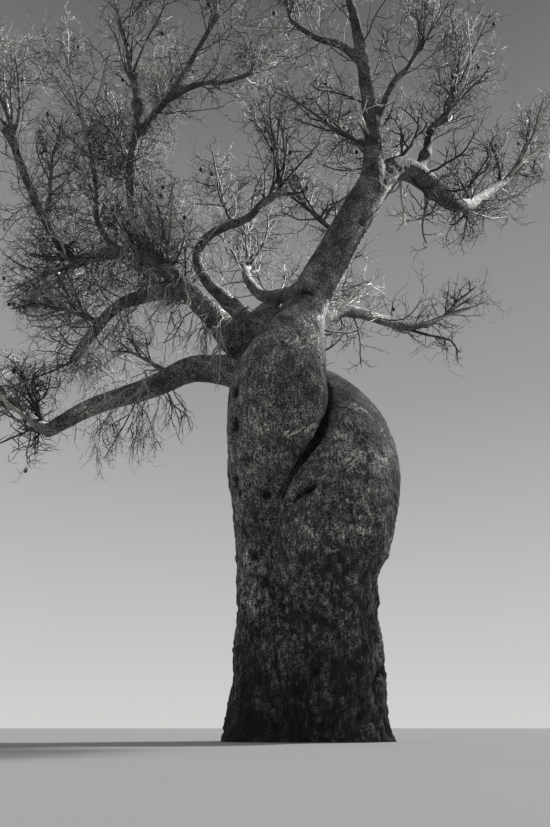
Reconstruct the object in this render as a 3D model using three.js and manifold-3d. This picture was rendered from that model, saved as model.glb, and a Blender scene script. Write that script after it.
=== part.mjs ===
// A bare baobab in the dry season: two swollen stems from one foot wind once round each other,
// and carry heavy crooked boughs that end in masses of leafless twigs with a few hanging fruits.
// Millimetres, +Z up. The origin is on the flat cut under the stems, at the middle of the foot.
// +X is to the right and +Y away from someone who stands in front of the crossing stems.
import * as THREE from "three";
import { mergeVertices } from "three/addons/utils/BufferGeometryUtils.js";
import Module from "manifold-3d";

const wasm = await Module();
wasm.setup();

// The two stems, as stations from below the ground to the top: [x, y, z, radius].
// The left one leans to the front as it rises. The right one swells out, then crosses behind it.
const STEMS = {
  left_stem: [
    [-540, 120, -350, 1010],
    [-540, 120, 0, 950],
    [-500, 160, 900, 890],
    [-470, 260, 2100, 860],
    [-430, 420, 3300, 930],
    [-440, 260, 4400, 1030],
    [-480, -60, 5400, 1100],
    [-500, -400, 6400, 1130],
    [-430, -520, 7300, 1055],
    [-170, -500, 8200, 800],
    [70, -430, 9000, 590],
    [275, -380, 9650, 500],
  ],
  right_stem: [
    [560, -60, -350, 990],
    [560, -60, 0, 930],
    [620, -120, 900, 910],
    [570, -250, 2100, 850],
    [500, -430, 3200, 1070],
    [690, -330, 4200, 1235],
    [900, 60, 5200, 1240],
    [900, 460, 6200, 1190],
    [560, 900, 7100, 1080],
    [20, 1170, 7750, 960],
    [-520, 1120, 8450, 860],
    [-600, 620, 9850, 660],
  ],
};
const STEM_SIDES = 20;
const STEM_STEPS = 2; // rings for each station
const GROUND_Z = 0;

// Root flare: low ribs that run out as the stems meet the ground.
const FLARE_HEIGHT = 700;
const FLARE_DEPTH = 0.07; // share of the radius
const FLARE_RIBS = 5;

// Boughs. Each starts on the middle line of its parent, at a share of the parent's length,
// runs through a few waypoints, and tapers from the first radius to the second.
const BOUGHS = [
  { name: "leaning_bough", on: "left_stem", share: 1, radii: [490, 425],
    route: [[740, -480, 10550], [1250, -680, 11500], [1960, -1000, 12750]] },
  { name: "upright_bough", on: "leaning_bough", share: 1, radii: [300, 105],
    route: [[2010, -1250, 13600], [1960, -1620, 14550], [1710, -2400, 16000], [1400, -3150, 17000]] },
  { name: "right_bough", on: "leaning_bough", share: 0.9, radii: [380, 225],
    route: [[2500, -900, 13400], [3000, -700, 13700], [3560, -400, 13600], [4180, 0, 13400]] },
  { name: "far_right_bough", on: "right_bough", share: 1, radii: [215, 110],
    route: [[4750, 350, 13450], [5300, 600, 13900], [6300, 900, 14900]] },
  { name: "right_riser", on: "right_bough", share: 0.62, radii: [135, 75],
    route: [[3620, -650, 14450], [3800, -750, 15200], [4350, -700, 15750]] },
  { name: "right_back_bough", on: "right_bough", share: 0.45, radii: [140, 60],
    route: [[2650, -100, 14300], [2350, 350, 15000]] },
  { name: "top_left_bough", on: "upright_bough", share: 0.72, radii: [110, 55],
    route: [[1150, -2380, 16450], [560, -2300, 16850], [-150, -2350, 17550]] },
  { name: "top_right_bough", on: "upright_bough", share: 0.42, radii: [100, 50],
    route: [[2550, -1950, 15450], [3000, -2000, 16050], [3400, -2200, 16850]] },
  { name: "low_right_bough", on: "right_stem", share: 0.88, radii: [300, 130],
    route: [[150, 1500, 9600], [950, 1700, 10650], [1750, 2100, 11050], [3300, 3000, 11150]] },
  { name: "low_left_bough", on: "right_stem", share: 0.88, radii: [400, 185],
    route: [[-1750, 700, 8250], [-2650, 650, 8250], [-3720, 1000, 7930], [-5300, 1600, 7700],
      [-6650, 2200, 7250]] },
  { name: "left_bough", on: "right_stem", share: 0.93, radii: [420, 240],
    route: [[-1500, 450, 8950], [-2100, 250, 9550], [-2800, 0, 10200]] },
  { name: "arch_bough", on: "left_bough", share: 1, radii: [225, 115],
    route: [[-3300, 200, 10330], [-4000, 520, 10420], [-4800, 800, 10250], [-5530, 1150, 9500],
      [-5950, 1400, 8950]] },
  { name: "far_left_bough", on: "left_bough", share: 0.95, radii: [235, 150],
    route: [[-3300, -150, 10700], [-3950, -150, 11200], [-5000, 150, 11550], [-5950, 450, 11480]] },
  { name: "far_left_riser", on: "far_left_bough", share: 1, radii: [140, 85],
    route: [[-6350, 300, 11900], [-6900, -200, 12700], [-7400, -900, 13800], [-7650, -1350, 14500]] },
  { name: "left_riser", on: "far_left_bough", share: 0.68, radii: [95, 50],
    route: [[-5300, -150, 12350], [-5350, -500, 13100], [-5450, -1000, 14000]] },
  { name: "upper_left_bough", on: "far_left_bough", share: 0.32, radii: [165, 75],
    route: [[-4230, -450, 12300], [-4350, -1000, 13350], [-4160, -1650, 14450], [-4200, -2150, 15600]] },
  { name: "inner_riser", on: "upper_left_bough", share: 0.66, radii: [100, 50],
    route: [[-3800, -1700, 14450], [-3200, -2050, 15050], [-2500, -2500, 16300], [-2050, -2800, 17100]] },
  { name: "reaching_bough", on: "inner_riser", share: 0.42, radii: [75, 45],
    route: [[-2600, -1950, 15450], [-1900, -1750, 15850], [-1150, -1600, 16400]] },
  { name: "inner_left_bough", on: "right_stem", share: 0.95, radii: [330, 160],
    route: [[-1250, 850, 9800], [-1800, 850, 10450], [-2330, 800, 11000]] },
  { name: "curved_bough", on: "inner_left_bough", share: 1, radii: [155, 75],
    route: [[-2640, 700, 11500], [-2680, 600, 12050], [-2250, 380, 12480], [-1300, 0, 12650],
      [-900, -400, 12800], [-400, -600, 12970]] },
  { name: "back_left_bough", on: "leaning_bough", share: 0.12, radii: [210, 85],
    route: [[-300, 150, 10150], [-880, 600, 10500], [-1270, 1050, 11300], [-1450, 1650, 12250],
      [-1500, 2800, 13200]] },
  { name: "back_right_bough", on: "right_stem", share: 0.78, radii: [330, 120],
    route: [[250, 2200, 8900], [500, 3200, 10400], [750, 4300, 12000], [950, 5000, 13400]] },
  { name: "left_back_bough", on: "left_bough", share: 0.8, radii: [190, 95],
    route: [[-2900, 900, 10900], [-3500, 2000, 11900], [-4200, 3200, 12900]] },
];
const THICK_BOUGH = 200; // a bough with a larger foot has more sides
const BOUGH_SIDES = { thick: 10, thin: 6 };
const BOUGH_STEPS = 2; // rings for each waypoint

// Masses of bare twigs. Each starts on its bough, at its tip where the share is 1, and its stem
// runs towards "to". The mass keeps inside a rounded space "spread" wide to each side of that line.
const MASSES = [
  { name: "twigs_low_left", on: "low_left_bough", share: 1, to: [-9100, 3400, 9300], spread: 1700 },
  { name: "twigs_over_low_left", on: "low_left_bough", share: 0.5, to: [-4500, 600, 9400], spread: 900 },
  { name: "twigs_weeping", on: "low_left_bough", share: 0.62,
    to: [-4300, 350, 5750], spread: 1100, weeps: true },
  { name: "twigs_weeping_outer", on: "arch_bough", share: 1,
    to: [-6850, 200, 7300], spread: 1100, weeps: true },
  { name: "twigs_arch", on: "arch_bough", share: 0.7, to: [-7500, 700, 10500], spread: 1200 },
  { name: "twigs_far_left_side", on: "far_left_bough", share: 0.82, to: [-8400, 2900, 12500], spread: 1500 },
  { name: "twigs_far_left", on: "far_left_riser", share: 1,
    to: [-8600, -2300, 17900], spread: 1700, fruit: 1 },
  { name: "twigs_left_riser", on: "left_riser", share: 1, to: [-6300, -2300, 17800], spread: 1500, fruit: 1 },
  { name: "twigs_left_tangle", on: "far_left_bough", share: 0.5, to: [-4600, 1700, 13900], spread: 1400 },
  { name: "twigs_inner_tangle", on: "far_left_bough", share: 0.18,
    to: [-3500, -1900, 12500], spread: 1050, fruit: 1 },
  { name: "twigs_upper_left", on: "upper_left_bough", share: 1,
    to: [-4500, -3500, 18900], spread: 1500, fruit: 1 },
  { name: "twigs_upper_left_side", on: "upper_left_bough", share: 0.55,
    to: [-5600, 400, 16900], spread: 1600 },
  { name: "twigs_inner_riser", on: "inner_riser", share: 1,
    to: [-1900, -3700, 19500], spread: 1400, fruit: 1 },
  { name: "twigs_inner_side", on: "inner_riser", share: 0.35, to: [-3300, -600, 17900], spread: 1300 },
  { name: "twigs_reaching", on: "reaching_bough", share: 1, to: [-600, -500, 18700], spread: 1500, fruit: 1 },
  { name: "twigs_curved", on: "curved_bough", share: 1, to: [-100, -1500, 15700], spread: 1400, fruit: 1 },
  { name: "twigs_curved_side", on: "curved_bough", share: 0.6,
    to: [-2350, 900, 15500], spread: 1500, fruit: 1 },
  { name: "twigs_back_left", on: "back_left_bough", share: 1, to: [-1300, 3900, 17000], spread: 2000 },
  { name: "twigs_low_right", on: "low_right_bough", share: 1, to: [6300, 4300, 12900], spread: 1900 },
  { name: "twigs_upright", on: "upright_bough", share: 1, to: [1300, -4700, 19700], spread: 1500, fruit: 1 },
  { name: "twigs_top_left", on: "top_left_bough", share: 1, to: [-200, -1900, 19800], spread: 1200 },
  { name: "twigs_top_right", on: "top_right_bough", share: 1,
    to: [3900, -3400, 19500], spread: 1500, fruit: 1 },
  { name: "twigs_right_riser", on: "right_riser", share: 1,
    to: [5400, -1500, 18700], spread: 1600, fruit: 1 },
  { name: "twigs_far_right", on: "far_right_bough", share: 1,
    to: [8500, 700, 17300], spread: 1700, fruit: 1 },
  { name: "twigs_right_side", on: "far_right_bough", share: 0.6, to: [6400, 3500, 16600], spread: 1700 },
  { name: "twigs_right_back", on: "right_back_bough", share: 1, to: [2300, 1200, 18700], spread: 1800 },
  { name: "twigs_back_right", on: "back_right_bough", share: 1, to: [2200, 6600, 17000], spread: 2000 },
  { name: "twigs_left_back", on: "left_back_bough", share: 1, to: [-5700, 5100, 16000], spread: 2000 },
  { name: "twigs_far_left_inner", on: "far_left_riser", share: 0.45, to: [-6000, -1200, 15300], spread: 1100 },
  { name: "twigs_leaning", on: "leaning_bough", share: 0.6, to: [-200, 600, 14600], spread: 1300 },
  { name: "twigs_low_right_side", on: "low_right_bough", share: 0.4, to: [1900, 2000, 13600], spread: 1200 },
  { name: "twigs_upright_side", on: "upright_bough", share: 0.3, to: [-300, -900, 17200], spread: 1300 },
];

// How the twigs of a mass branch: sizes for each order, from the stem out. "from" and "until" are
// the stretch of the parent that bears twigs, "reach" their length as a share of the mass's spread
// or of the parent's length, "leave" their angle from the parent, in degrees, and "radius" a share
// of the parent's, but not less than "least".
const STEM_ORDER = { steps: 4 };
const TWIG_ORDERS = [
  { count: 5, from: 0.12, until: 0.97, reach: 1.1, leave: 52, radius: 0.6, least: 26, steps: 2 },
  { count: 2, from: 0.3, until: 0.97, reach: 0.55, leave: 48, radius: 0.6, least: 17, steps: 1 },
];
const UNEVEN = { place: 0.6, turn: 1, leave: [0.75, 1.2], reach: [0.8, 1.2] }; // by chance, twig by twig
const TWIG_SIDES = 3;
const TWIG_TAPER = 0.4; // tip radius over foot radius
const SHORTEST_TWIG = 550;
const SIDE_STEM = { share: 0.6, largest: 90 }; // radius of a stem that leaves the side of a bough
const LIFT = 0.1; // how much a twig turns up, or down where the mass weeps, at each step
const WOBBLE = 0.25;
const TWIG_CLEARANCE = 60; // from a twig to a bough or stem
const MASS_GAP = 80; // how much nearer a twig stays to its own stem than to any other

// Hanging fruits: an egg on a thin stalk, under one of the outermost twigs.
const FRUIT = { radius: 75, length: 210, stalk: 170, stalk_radius: 14, sides: 5, rings: 3, along: 0.7 };

const FINEST_DETAIL = 6; // smaller edges where twigs join are merged away
const CLEARANCE = 0.45; // growth of a cutting limb, which leaves about 0.3 between flat facets
const COLOURS = { stem: 0x8d8880, bough: 0x96918a, twig: 0xa39d95 };
const ROUGHNESS = 0.9;

const vector = ([x, y, z]) => new THREE.Vector3(x, y, z);
const degrees = THREE.MathUtils.degToRad;
const mix = THREE.MathUtils.lerp;

const UP = vector([0, 0, 1]);
const ASKEW = vector([0.31, 0.87, 0.38]); // no twig runs along it
const GOLDEN = degrees(137.5); // each twig is this far round its parent from the one below
const FIRST_SEED = 1000; // one more for each mass

// A seeded run of numbers from 0 to 1.
function dice(seed) {
  let state = seed;
  return () => {
    state = (state * 16807) % 2147483647;
    return state / 2147483647;
  };
}

// A closed geometry as a solid. Only positions are kept, and shared corners are merged.
function solid(geometry) {
  const bare = new THREE.BufferGeometry();
  bare.setAttribute("position", geometry.getAttribute("position"));
  bare.setIndex(geometry.getIndex());
  const merged = mergeVertices(bare, 1e-3);
  const mesh = new wasm.Mesh({
    numProp: 3,
    vertProperties: merged.getAttribute("position").array,
    triVerts: new Uint32Array(merged.getIndex().array),
  });
  return new wasm.Manifold(mesh);
}

// A line of points with a radius at each, as smooth as its waypoints let it be.
function smoothLine(points, radii, stepsEach) {
  const curve = new THREE.CatmullRomCurve3(points, false, "catmullrom", 0.5);
  const steps = (points.length - 1) * stepsEach;
  const line = [];
  for (let i = 0; i <= steps; i++) {
    const t = i / steps;
    line.push({ at: curve.getPoint(t), along: curve.getTangent(t), radius: radii(t) });
  }
  return line;
}

// Radii at even waypoints, joined by a smooth curve.
function throughRadii(values) {
  const curve = new THREE.CatmullRomCurve3(
    values.map((v, i) => new THREE.Vector3(i, v, 0)), false, "catmullrom", 0.5);
  return (t) => curve.getPoint(t).y;
}

// The point, direction and radius at a share of a line's length.
function pointOn(line, share) {
  const place = Math.min(share, 1) * (line.length - 1);
  const i = Math.min(Math.floor(place), line.length - 2);
  const t = place - i;
  return {
    at: line[i].at.clone().lerp(line[i + 1].at, t),
    along: line[i].along.clone().lerp(line[i + 1].along, t).normalize(),
    radius: mix(line[i].radius, line[i + 1].radius, t),
  };
}

// A round rod bent along a line. "grow" makes it fatter and longer at both ends, for cutting.
function limb(line, sides, grow = 0, section = () => 1) {
  const steps = line.length - 1;
  const rod = new THREE.CylinderGeometry(1, 1, steps, sides, steps);
  const place = rod.getAttribute("position");
  const frames = [];
  let side = Math.abs(line[0].along.x) > 0.9 ? UP : vector([1, 0, 0]);
  for (const { at, along, radius } of line) {
    side = side.clone().addScaledVector(along, -side.dot(along)).normalize();
    frames.push({ at: at.clone(), side, other: along.clone().cross(side), radius: radius + grow });
  }
  frames[0].at.addScaledVector(line[0].along, -grow);
  frames[steps].at.addScaledVector(line[steps].along, grow);
  for (let i = 0; i < place.count; i++) {
    const frame = frames[Math.round(place.getY(i) + steps / 2)];
    const [across, over] = [place.getX(i), -place.getZ(i)];
    const radius = frame.radius * section(Math.atan2(over, across), frame.at.z);
    const corner = frame.at
      .clone()
      .addScaledVector(frame.side, across * radius)
      .addScaledVector(frame.other, over * radius);
    place.setXYZ(i, corner.x, corner.y, corner.z);
  }
  return solid(rod);
}

// The part of a solid that is left after the others are cut away, without loose scraps.
function cutBy(body, cutters) {
  let left = body;
  for (const cutter of cutters) left = left.subtract(cutter);
  return left.decompose().reduce((a, b) => (a.volume() > b.volume() ? a : b));
}

const group = new THREE.Group();

function addNode(name, body, colour) {
  const { vertProperties, triVerts, numProp } = body.getMesh();
  const corners = new Float32Array((vertProperties.length / numProp) * 3);
  for (let i = 0; i < corners.length / 3; i++)
    corners.set(vertProperties.subarray(i * numProp, i * numProp + 3), i * 3);
  const geometry = new THREE.BufferGeometry();
  geometry.setAttribute("position", new THREE.BufferAttribute(corners, 3));
  geometry.setIndex(new THREE.BufferAttribute(triVerts, 1));
  geometry.computeVertexNormals();
  const material = new THREE.MeshStandardMaterial({ color: colour, roughness: ROUGHNESS, metalness: 0 });
  const mesh = new THREE.Mesh(geometry, material);
  mesh.name = name;
  group.add(mesh);
}

// The ribs of the root flare, strongest at the ground.
function flare(angle, z) {
  const share = Math.max(0, 1 - z / FLARE_HEIGHT);
  return 1 + FLARE_DEPTH * share * share * (1 + Math.cos(FLARE_RIBS * angle));
}

// Every limb by name: its line, its solid, and the grown solid that cuts its neighbours.
const limbs = new Map();

function stems() {
  const cutters = [];
  for (const [name, stations] of Object.entries(STEMS)) {
    const line = smoothLine(stations.map(vector), throughRadii(stations.map((s) => s[3])), STEM_STEPS);
    const body = cutBy(limb(line, STEM_SIDES, 0, flare), cutters).trimByPlane([0, 0, 1], GROUND_Z);
    const cutter = limb(line, STEM_SIDES, CLEARANCE, flare);
    cutters.push(cutter);
    limbs.set(name, { line, cutter });
    addNode(name, body, COLOURS.stem);
  }
}

function boughs() {
  for (const { name, on, share, route, radii } of BOUGHS) {
    const parent = limbs.get(on);
    const foot = pointOn(parent.line, share);
    if (share === 1) foot.at.addScaledVector(foot.along, CLEARANCE);
    const [first, last] = radii;
    const line = smoothLine([foot.at, ...route.map(vector)], (t) => mix(first, last, t), BOUGH_STEPS);
    if (share === 1) line[0].along.copy(foot.along);
    const sides = first > THICK_BOUGH ? BOUGH_SIDES.thick : BOUGH_SIDES.thin;
    const cutters = [...limbs.values()].map((l) => l.cutter);
    addNode(name, cutBy(limb(line, sides), cutters), COLOURS.bough);
    limbs.set(name, { line, cutter: limb(line, sides, CLEARANCE) });
  }
}

// The space that a mass keeps inside: a rounded barrel round the line from its foot to its far end.
function spaceOf({ name, on, share, to, spread }) {
  const foot = pointOn(limbs.get(on).line, share);
  const axis = vector(to).sub(foot.at);
  const half = axis.length() / 2;
  const middle = foot.at.clone().add(vector(to)).multiplyScalar(0.5);
  const { share: part, largest } = SIDE_STEM;
  const radius = share === 1 ? foot.radius : Math.min(largest, foot.radius * part);
  if (share === 1) foot.at.addScaledVector(foot.along, CLEARANCE);
  return { name, foot, axis: axis.normalize(), half, spread, middle, radius };
}

function inSpace({ middle, axis, half, spread }, point) {
  const offset = point.clone().sub(middle);
  const lengthways = offset.dot(axis);
  const sideways = offset.addScaledVector(axis, -lengthways).length();
  return (lengthways / half) ** 4 + (sideways / spread) ** 2 < 1;
}

// The gap from a point to the surface of a limb or twig, given as its line.
function gapTo(line, point) {
  let least = Infinity;
  for (let i = 1; i < line.length; i++) {
    const stretch = new THREE.Line3(line[i - 1].at, line[i].at);
    const near = stretch.closestPointToPoint(point, true, new THREE.Vector3());
    least = Math.min(least, near.distanceTo(point) - Math.max(line[i - 1].radius, line[i].radius));
  }
  return least;
}

// A twig is a walk that starts in a direction and turns a little at each step. Where a step would
// take it out of bounds it takes a half step, and then it ends.
function walk(start, along, length, radius, steps, lift, roll, allows) {
  const line = [{ at: start.clone(), along: along.clone(), radius }];
  const heading = along.clone();
  for (let i = 1; i <= steps; i++) {
    const turn = new THREE.Vector3(roll() - 0.5, roll() - 0.5, roll() - 0.5);
    heading.addScaledVector(UP, lift).addScaledVector(turn, WOBBLE).normalize();
    const last = line[line.length - 1].at;
    const halfway = last.clone().addScaledVector(heading, length / steps / 2);
    if (!allows(halfway)) break;
    const whole = last.clone().addScaledVector(heading, length / steps);
    const ends = !allows(whole);
    const at = ends ? halfway : whole;
    const thick = radius * mix(1, TWIG_TAPER, (ends ? i - 0.5 : i) / steps);
    line.push({ at, along: heading.clone(), radius: thick });
    if (ends) break;
  }
  return line;
}

function lengthOf(line) {
  return line.slice(1).reduce((sum, p, i) => sum + p.at.distanceTo(line[i].at), 0);
}

// Each order of twigs on the one before, turning round it by the golden angle as they rise.
function branch(stem, space, lift, roll, allows) {
  const twigs = [];
  let parents = [stem];
  TWIG_ORDERS.forEach(({ count, from, until, reach, leave, radius, least, steps }, order) => {
    const next = [];
    for (const parent of parents) {
      const free = order === 0 ? space.spread : lengthOf(parent);
      for (let i = 0; i < count; i++) {
        const base = pointOn(parent, mix(from, until, (i + roll() * UNEVEN.place) / count));
        const side = base.along.clone().cross(ASKEW).normalize();
        side.applyAxisAngle(base.along, GOLDEN * (i + next.length) + roll() * UNEVEN.turn);
        const angle = degrees(leave * mix(...UNEVEN.leave, roll()));
        const away = base.along.clone().applyAxisAngle(side, angle);
        const length = free * reach * mix(...UNEVEN.reach, roll());
        const thick = Math.max(least, base.radius * radius);
        const twig = walk(base.at, away, length, thick, steps, lift, roll, allows);
        if (lengthOf(twig) > SHORTEST_TWIG) next.push(twig);
      }
    }
    twigs.push(...next);
    parents = next;
  });
  return twigs;
}

// An egg-shaped fruit under a point, on its stalk.
function fruitUnder(point) {
  const { radius, length, stalk, stalk_radius, sides, rings } = FRUIT;
  const egg = new THREE.SphereGeometry(radius, sides, rings);
  egg.rotateX(Math.PI / 2).scale(1, 1, length / (2 * radius));
  egg.translate(point.x, point.y, point.z - stalk - length / 2);
  const cord = new THREE.CylinderGeometry(stalk_radius, stalk_radius, stalk + length / 3, 3);
  cord.rotateX(Math.PI / 2).translate(point.x, point.y, point.z - stalk / 2 - length / 6);
  return wasm.Manifold.union([solid(egg), solid(cord)]);
}

// All the stems are laid first, so that each mass can keep its twigs nearer to its own stem.
function masses() {
  const spaces = MASSES.map(spaceOf);
  const rolls = MASSES.map((_, m) => dice(FIRST_SEED + m));
  const stemLines = spaces.map(({ foot, axis, half, radius }, m) =>
    walk(foot.at, axis, 2 * half, radius, STEM_ORDER.steps, 0, rolls[m], () => true));
  MASSES.forEach(({ name, on, share, weeps, fruit = 0 }, m) => {
    const stem = stemLines[m];
    const others = stemLines.filter((line) => line !== stem);
    const allows = (point) => {
      if (!inSpace(spaces[m], point)) return false;
      const own = gapTo(stem, point) + MASS_GAP;
      if (others.some((line) => gapTo(line, point) < own)) return false;
      return ![...limbs.values()].some(({ line }) => gapTo(line, point) < TWIG_CLEARANCE);
    };
    const twigs = branch(stem, spaces[m], weeps ? -LIFT : LIFT, rolls[m], allows);
    if (share === 1) stem[0].along.copy(spaces[m].foot.along);
    const bodies = [stem, ...twigs].map((line) => limb(line, TWIG_SIDES));
    const bearing = twigs.slice(twigs.length - fruit);
    bodies.push(...bearing.map((line) => fruitUnder(pointOn(line, FRUIT.along).at)));
    const joined = wasm.Manifold.union(bodies).simplify(FINEST_DETAIL);
    addNode(name, cutBy(joined, [limbs.get(on).cutter]), COLOURS.twig);
  });
}

stems();
boughs();
masses();

export default group;
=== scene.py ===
# A bare baobab in the dry season: two stems wound round each other, crooked boughs, masses of
# leafless twigs and a few hanging fruits. Metres, +Z up, from the ground at the middle of the foot.
import math
from collections import namedtuple

import bmesh
import bpy
import numpy as np
from mathutils import Matrix, Vector, noise
from mathutils.bvhtree import BVHTree


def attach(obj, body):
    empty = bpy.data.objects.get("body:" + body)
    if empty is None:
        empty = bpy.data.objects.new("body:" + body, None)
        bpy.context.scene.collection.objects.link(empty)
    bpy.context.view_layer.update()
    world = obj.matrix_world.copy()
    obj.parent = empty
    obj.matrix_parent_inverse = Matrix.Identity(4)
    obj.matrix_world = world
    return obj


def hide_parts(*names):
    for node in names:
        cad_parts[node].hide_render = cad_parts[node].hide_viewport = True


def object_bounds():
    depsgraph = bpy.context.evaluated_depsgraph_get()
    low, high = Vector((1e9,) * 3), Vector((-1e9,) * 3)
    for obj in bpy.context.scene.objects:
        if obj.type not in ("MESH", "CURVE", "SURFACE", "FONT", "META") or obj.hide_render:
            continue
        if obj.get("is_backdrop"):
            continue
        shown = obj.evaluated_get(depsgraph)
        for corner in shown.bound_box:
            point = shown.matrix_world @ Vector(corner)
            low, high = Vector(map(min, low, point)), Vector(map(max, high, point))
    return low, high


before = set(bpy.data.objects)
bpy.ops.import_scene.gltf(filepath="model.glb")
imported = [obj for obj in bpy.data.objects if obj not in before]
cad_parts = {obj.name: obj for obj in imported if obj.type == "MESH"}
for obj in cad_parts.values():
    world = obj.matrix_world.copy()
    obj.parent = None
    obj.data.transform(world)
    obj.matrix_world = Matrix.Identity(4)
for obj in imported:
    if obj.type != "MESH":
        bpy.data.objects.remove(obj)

solid_low, solid_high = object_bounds()
scene = bpy.context.scene


def placed(name, data):
    """A new object in the scene, with this data."""
    thing = bpy.data.objects.new(name, data)
    scene.collection.objects.link(thing)
    return thing


# The view. The camera stands just above the ground, 13 m in front of the foot, and looks up
# until the stems fill the middle of an upright picture. It has no shift and no depth of field.
EYE = (-0.56, -13.0, 0.22)
LOOK_UP = 26.5  # degrees
LENS, FILM = 27.47, 36  # mm, for the picture's long side
SIGHT = 3000  # past the far side of the floor

camera = bpy.data.cameras.new("view")
camera.lens = LENS
camera.sensor_width = FILM
camera.clip_end = SIGHT
eye = placed("view", camera)
eye.location = EYE
eye.rotation_euler = (math.radians(90 + LOOK_UP), 0, 0)
scene.camera = eye
scene.view_settings.view_transform = "Standard"

# The studio. A plain pale floor of painted board runs out to the horizon, under an even grey
# surround that darkens overhead. A far lamp high on the right lights the crown and leaves the
# stems in soft shade, two more pick out the tops of the boughs, and a weak one gives a rim.
FLOOR_RADIUS, FLOOR_SIDES = 900, 128
FLOOR_TONES = [(0, "#bab9b7"), (1, "#c2c1bf")]
FLOOR_CLOUDS = 2.5  # size of the faint clouds in its paint
SURROUND = [  # by slope, from the horizon up
    (0, "#d2d1cf"), (0.26, "#b6b6b6"), (0.45, "#9e9e9e"), (0.7, "#868686"), (0.87, "#626262"),
]
RIM = {"bearing": (0.5, 0.35, 0.8), "strength": 2, "spread": 3}  # spread in degrees
Lamp = namedtuple("Lamp", "bearing aim away reach strength")
LAMPS = {
    "key": Lamp((0.76, 0.1, 0.64), (0, 0, 20.3), 90, 8.6, 14),
    "back": Lamp((0.5, 0.6, 0.62), (-0.7, 1, 12.5), 60, 3.7, 11),
    "side": Lamp((0.8, -0.3, 0.52), (1.6, 2.1, 11.2), 30, 1.2, 14),
}
LAMP_SIZE = 1 / 75  # of its distance, for soft shadows
FADING = 0.25  # the share of a beam that fades towards its edge


def linear(colour):
    """A hex sRGB colour as linear red, green, blue and alpha."""
    shares = [int(colour[i:i + 2], 16) / 255 for i in (1, 3, 5)]
    return [s / 12.92 if s <= 0.04045 else ((s + 0.055) / 1.055) ** 2.4 for s in shares] + [1]


def add(tree, kind, inputs=(), **settings):
    """A new node in a tree, with its settings, and its inputs set or linked."""
    node = tree.nodes.new("ShaderNode" + kind)
    for name, value in settings.items():
        setattr(node, name, value)
    for name, value in dict(inputs).items():
        if isinstance(value, bpy.types.NodeSocket):
            tree.links.new(value, node.inputs[name])
        else:
            node.inputs[name].default_value = value
    return node


def new_material(name, roughness):
    """A material, with its tree of nodes and its shader."""
    material = bpy.data.materials.new(name)
    material.use_nodes = True
    shader = material.node_tree.nodes["Principled BSDF"]
    shader.inputs["Roughness"].default_value = roughness
    return material, material.node_tree, shader


def graded(tree, value, tones):
    """A value as a colour between tones, each given with the value that it stands at."""
    ramp = add(tree, "ValToRGB", {"Fac": value})
    stops = ramp.color_ramp.elements
    for at, _ in tones[1:-1]:
        stops.new(at)
    for stop, (at, colour) in zip(stops, tones):
        stop.position = at
        stop.color = linear(colour)
    return ramp.outputs["Color"]


def grain(tree, place, size, detail=2, roughness=0.5):
    """Noise from 0 to 1, in lumps of that size."""
    inputs = {"Vector": place, "Scale": 1 / size, "Detail": detail, "Roughness": roughness}
    return add(tree, "TexNoise", inputs).outputs["Fac"]


def ranged(tree, value, low, high, to_low=0, to_high=1):
    """A value from low to high, carried over to another range."""
    names = ("Value", "From Min", "From Max", "To Min", "To Max")
    return add(tree, "MapRange", zip(names, (value, low, high, to_low, to_high))).outputs[0]


def blended(tree, share, one, other):
    """One value where the share is 0, and the other where it is 1."""
    return add(tree, "Mix", {"Factor": share, "A": one, "B": other}).outputs["Result"]


def product(tree, *values):
    """Values multiplied with each other, from the left."""
    result = values[0]
    for value in values[1:]:
        result = add(tree, "Math", {0: result, 1: value}, operation="MULTIPLY").outputs[0]
    return result


def bump(tree, shader, *layers):
    """Fine relief: the height, distance and strength of each layer, the coarse one first."""
    inputs = {}
    for height, distance, strength in layers:
        inputs.update({"Height": height, "Distance": distance, "Strength": strength})
        inputs["Normal"] = add(tree, "Bump", inputs).outputs[0]
    tree.links.new(inputs["Normal"], shader.inputs["Normal"])


def as_mesh(shape, name):
    """A finished shape as a mesh."""
    mesh = bpy.data.meshes.new(name)
    shape.to_mesh(mesh)
    shape.free()
    return mesh


def painted_board():
    """Matt paint on a flat board: it gives the eye nothing but a level to stand on."""
    material, tree, shader = new_material("painted_board", 0.95)
    clouds = grain(tree, add(tree, "TexCoord").outputs["Object"], FLOOR_CLOUDS)
    tree.links.new(graded(tree, clouds, FLOOR_TONES), shader.inputs["Base Color"])
    return material


floor_shape = bmesh.new()
bmesh.ops.create_circle(floor_shape, cap_ends=True, segments=FLOOR_SIDES, radius=FLOOR_RADIUS)
floor_mesh = as_mesh(floor_shape, "floor")
floor_mesh.materials.append(painted_board())
floor = placed("floor", floor_mesh)
floor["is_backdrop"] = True

world = bpy.data.worlds.new("studio")
world.use_nodes = True
tree = world.node_tree
direction = add(tree, "TexCoord").outputs["Generated"]
slope = add(tree, "SeparateXYZ", {"Vector": direction}).outputs["Z"]
tree.links.new(graded(tree, slope, SURROUND), tree.nodes["Background"].inputs["Color"])
scene.world = world

rim = bpy.data.lights.new("rim", "SUN")
rim.energy = RIM["strength"]
rim.angle = math.radians(RIM["spread"])
rim_stand = placed("rim", rim)
rim_stand.rotation_euler = Vector(RIM["bearing"]).to_track_quat("Z", "Y").to_euler()

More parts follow.
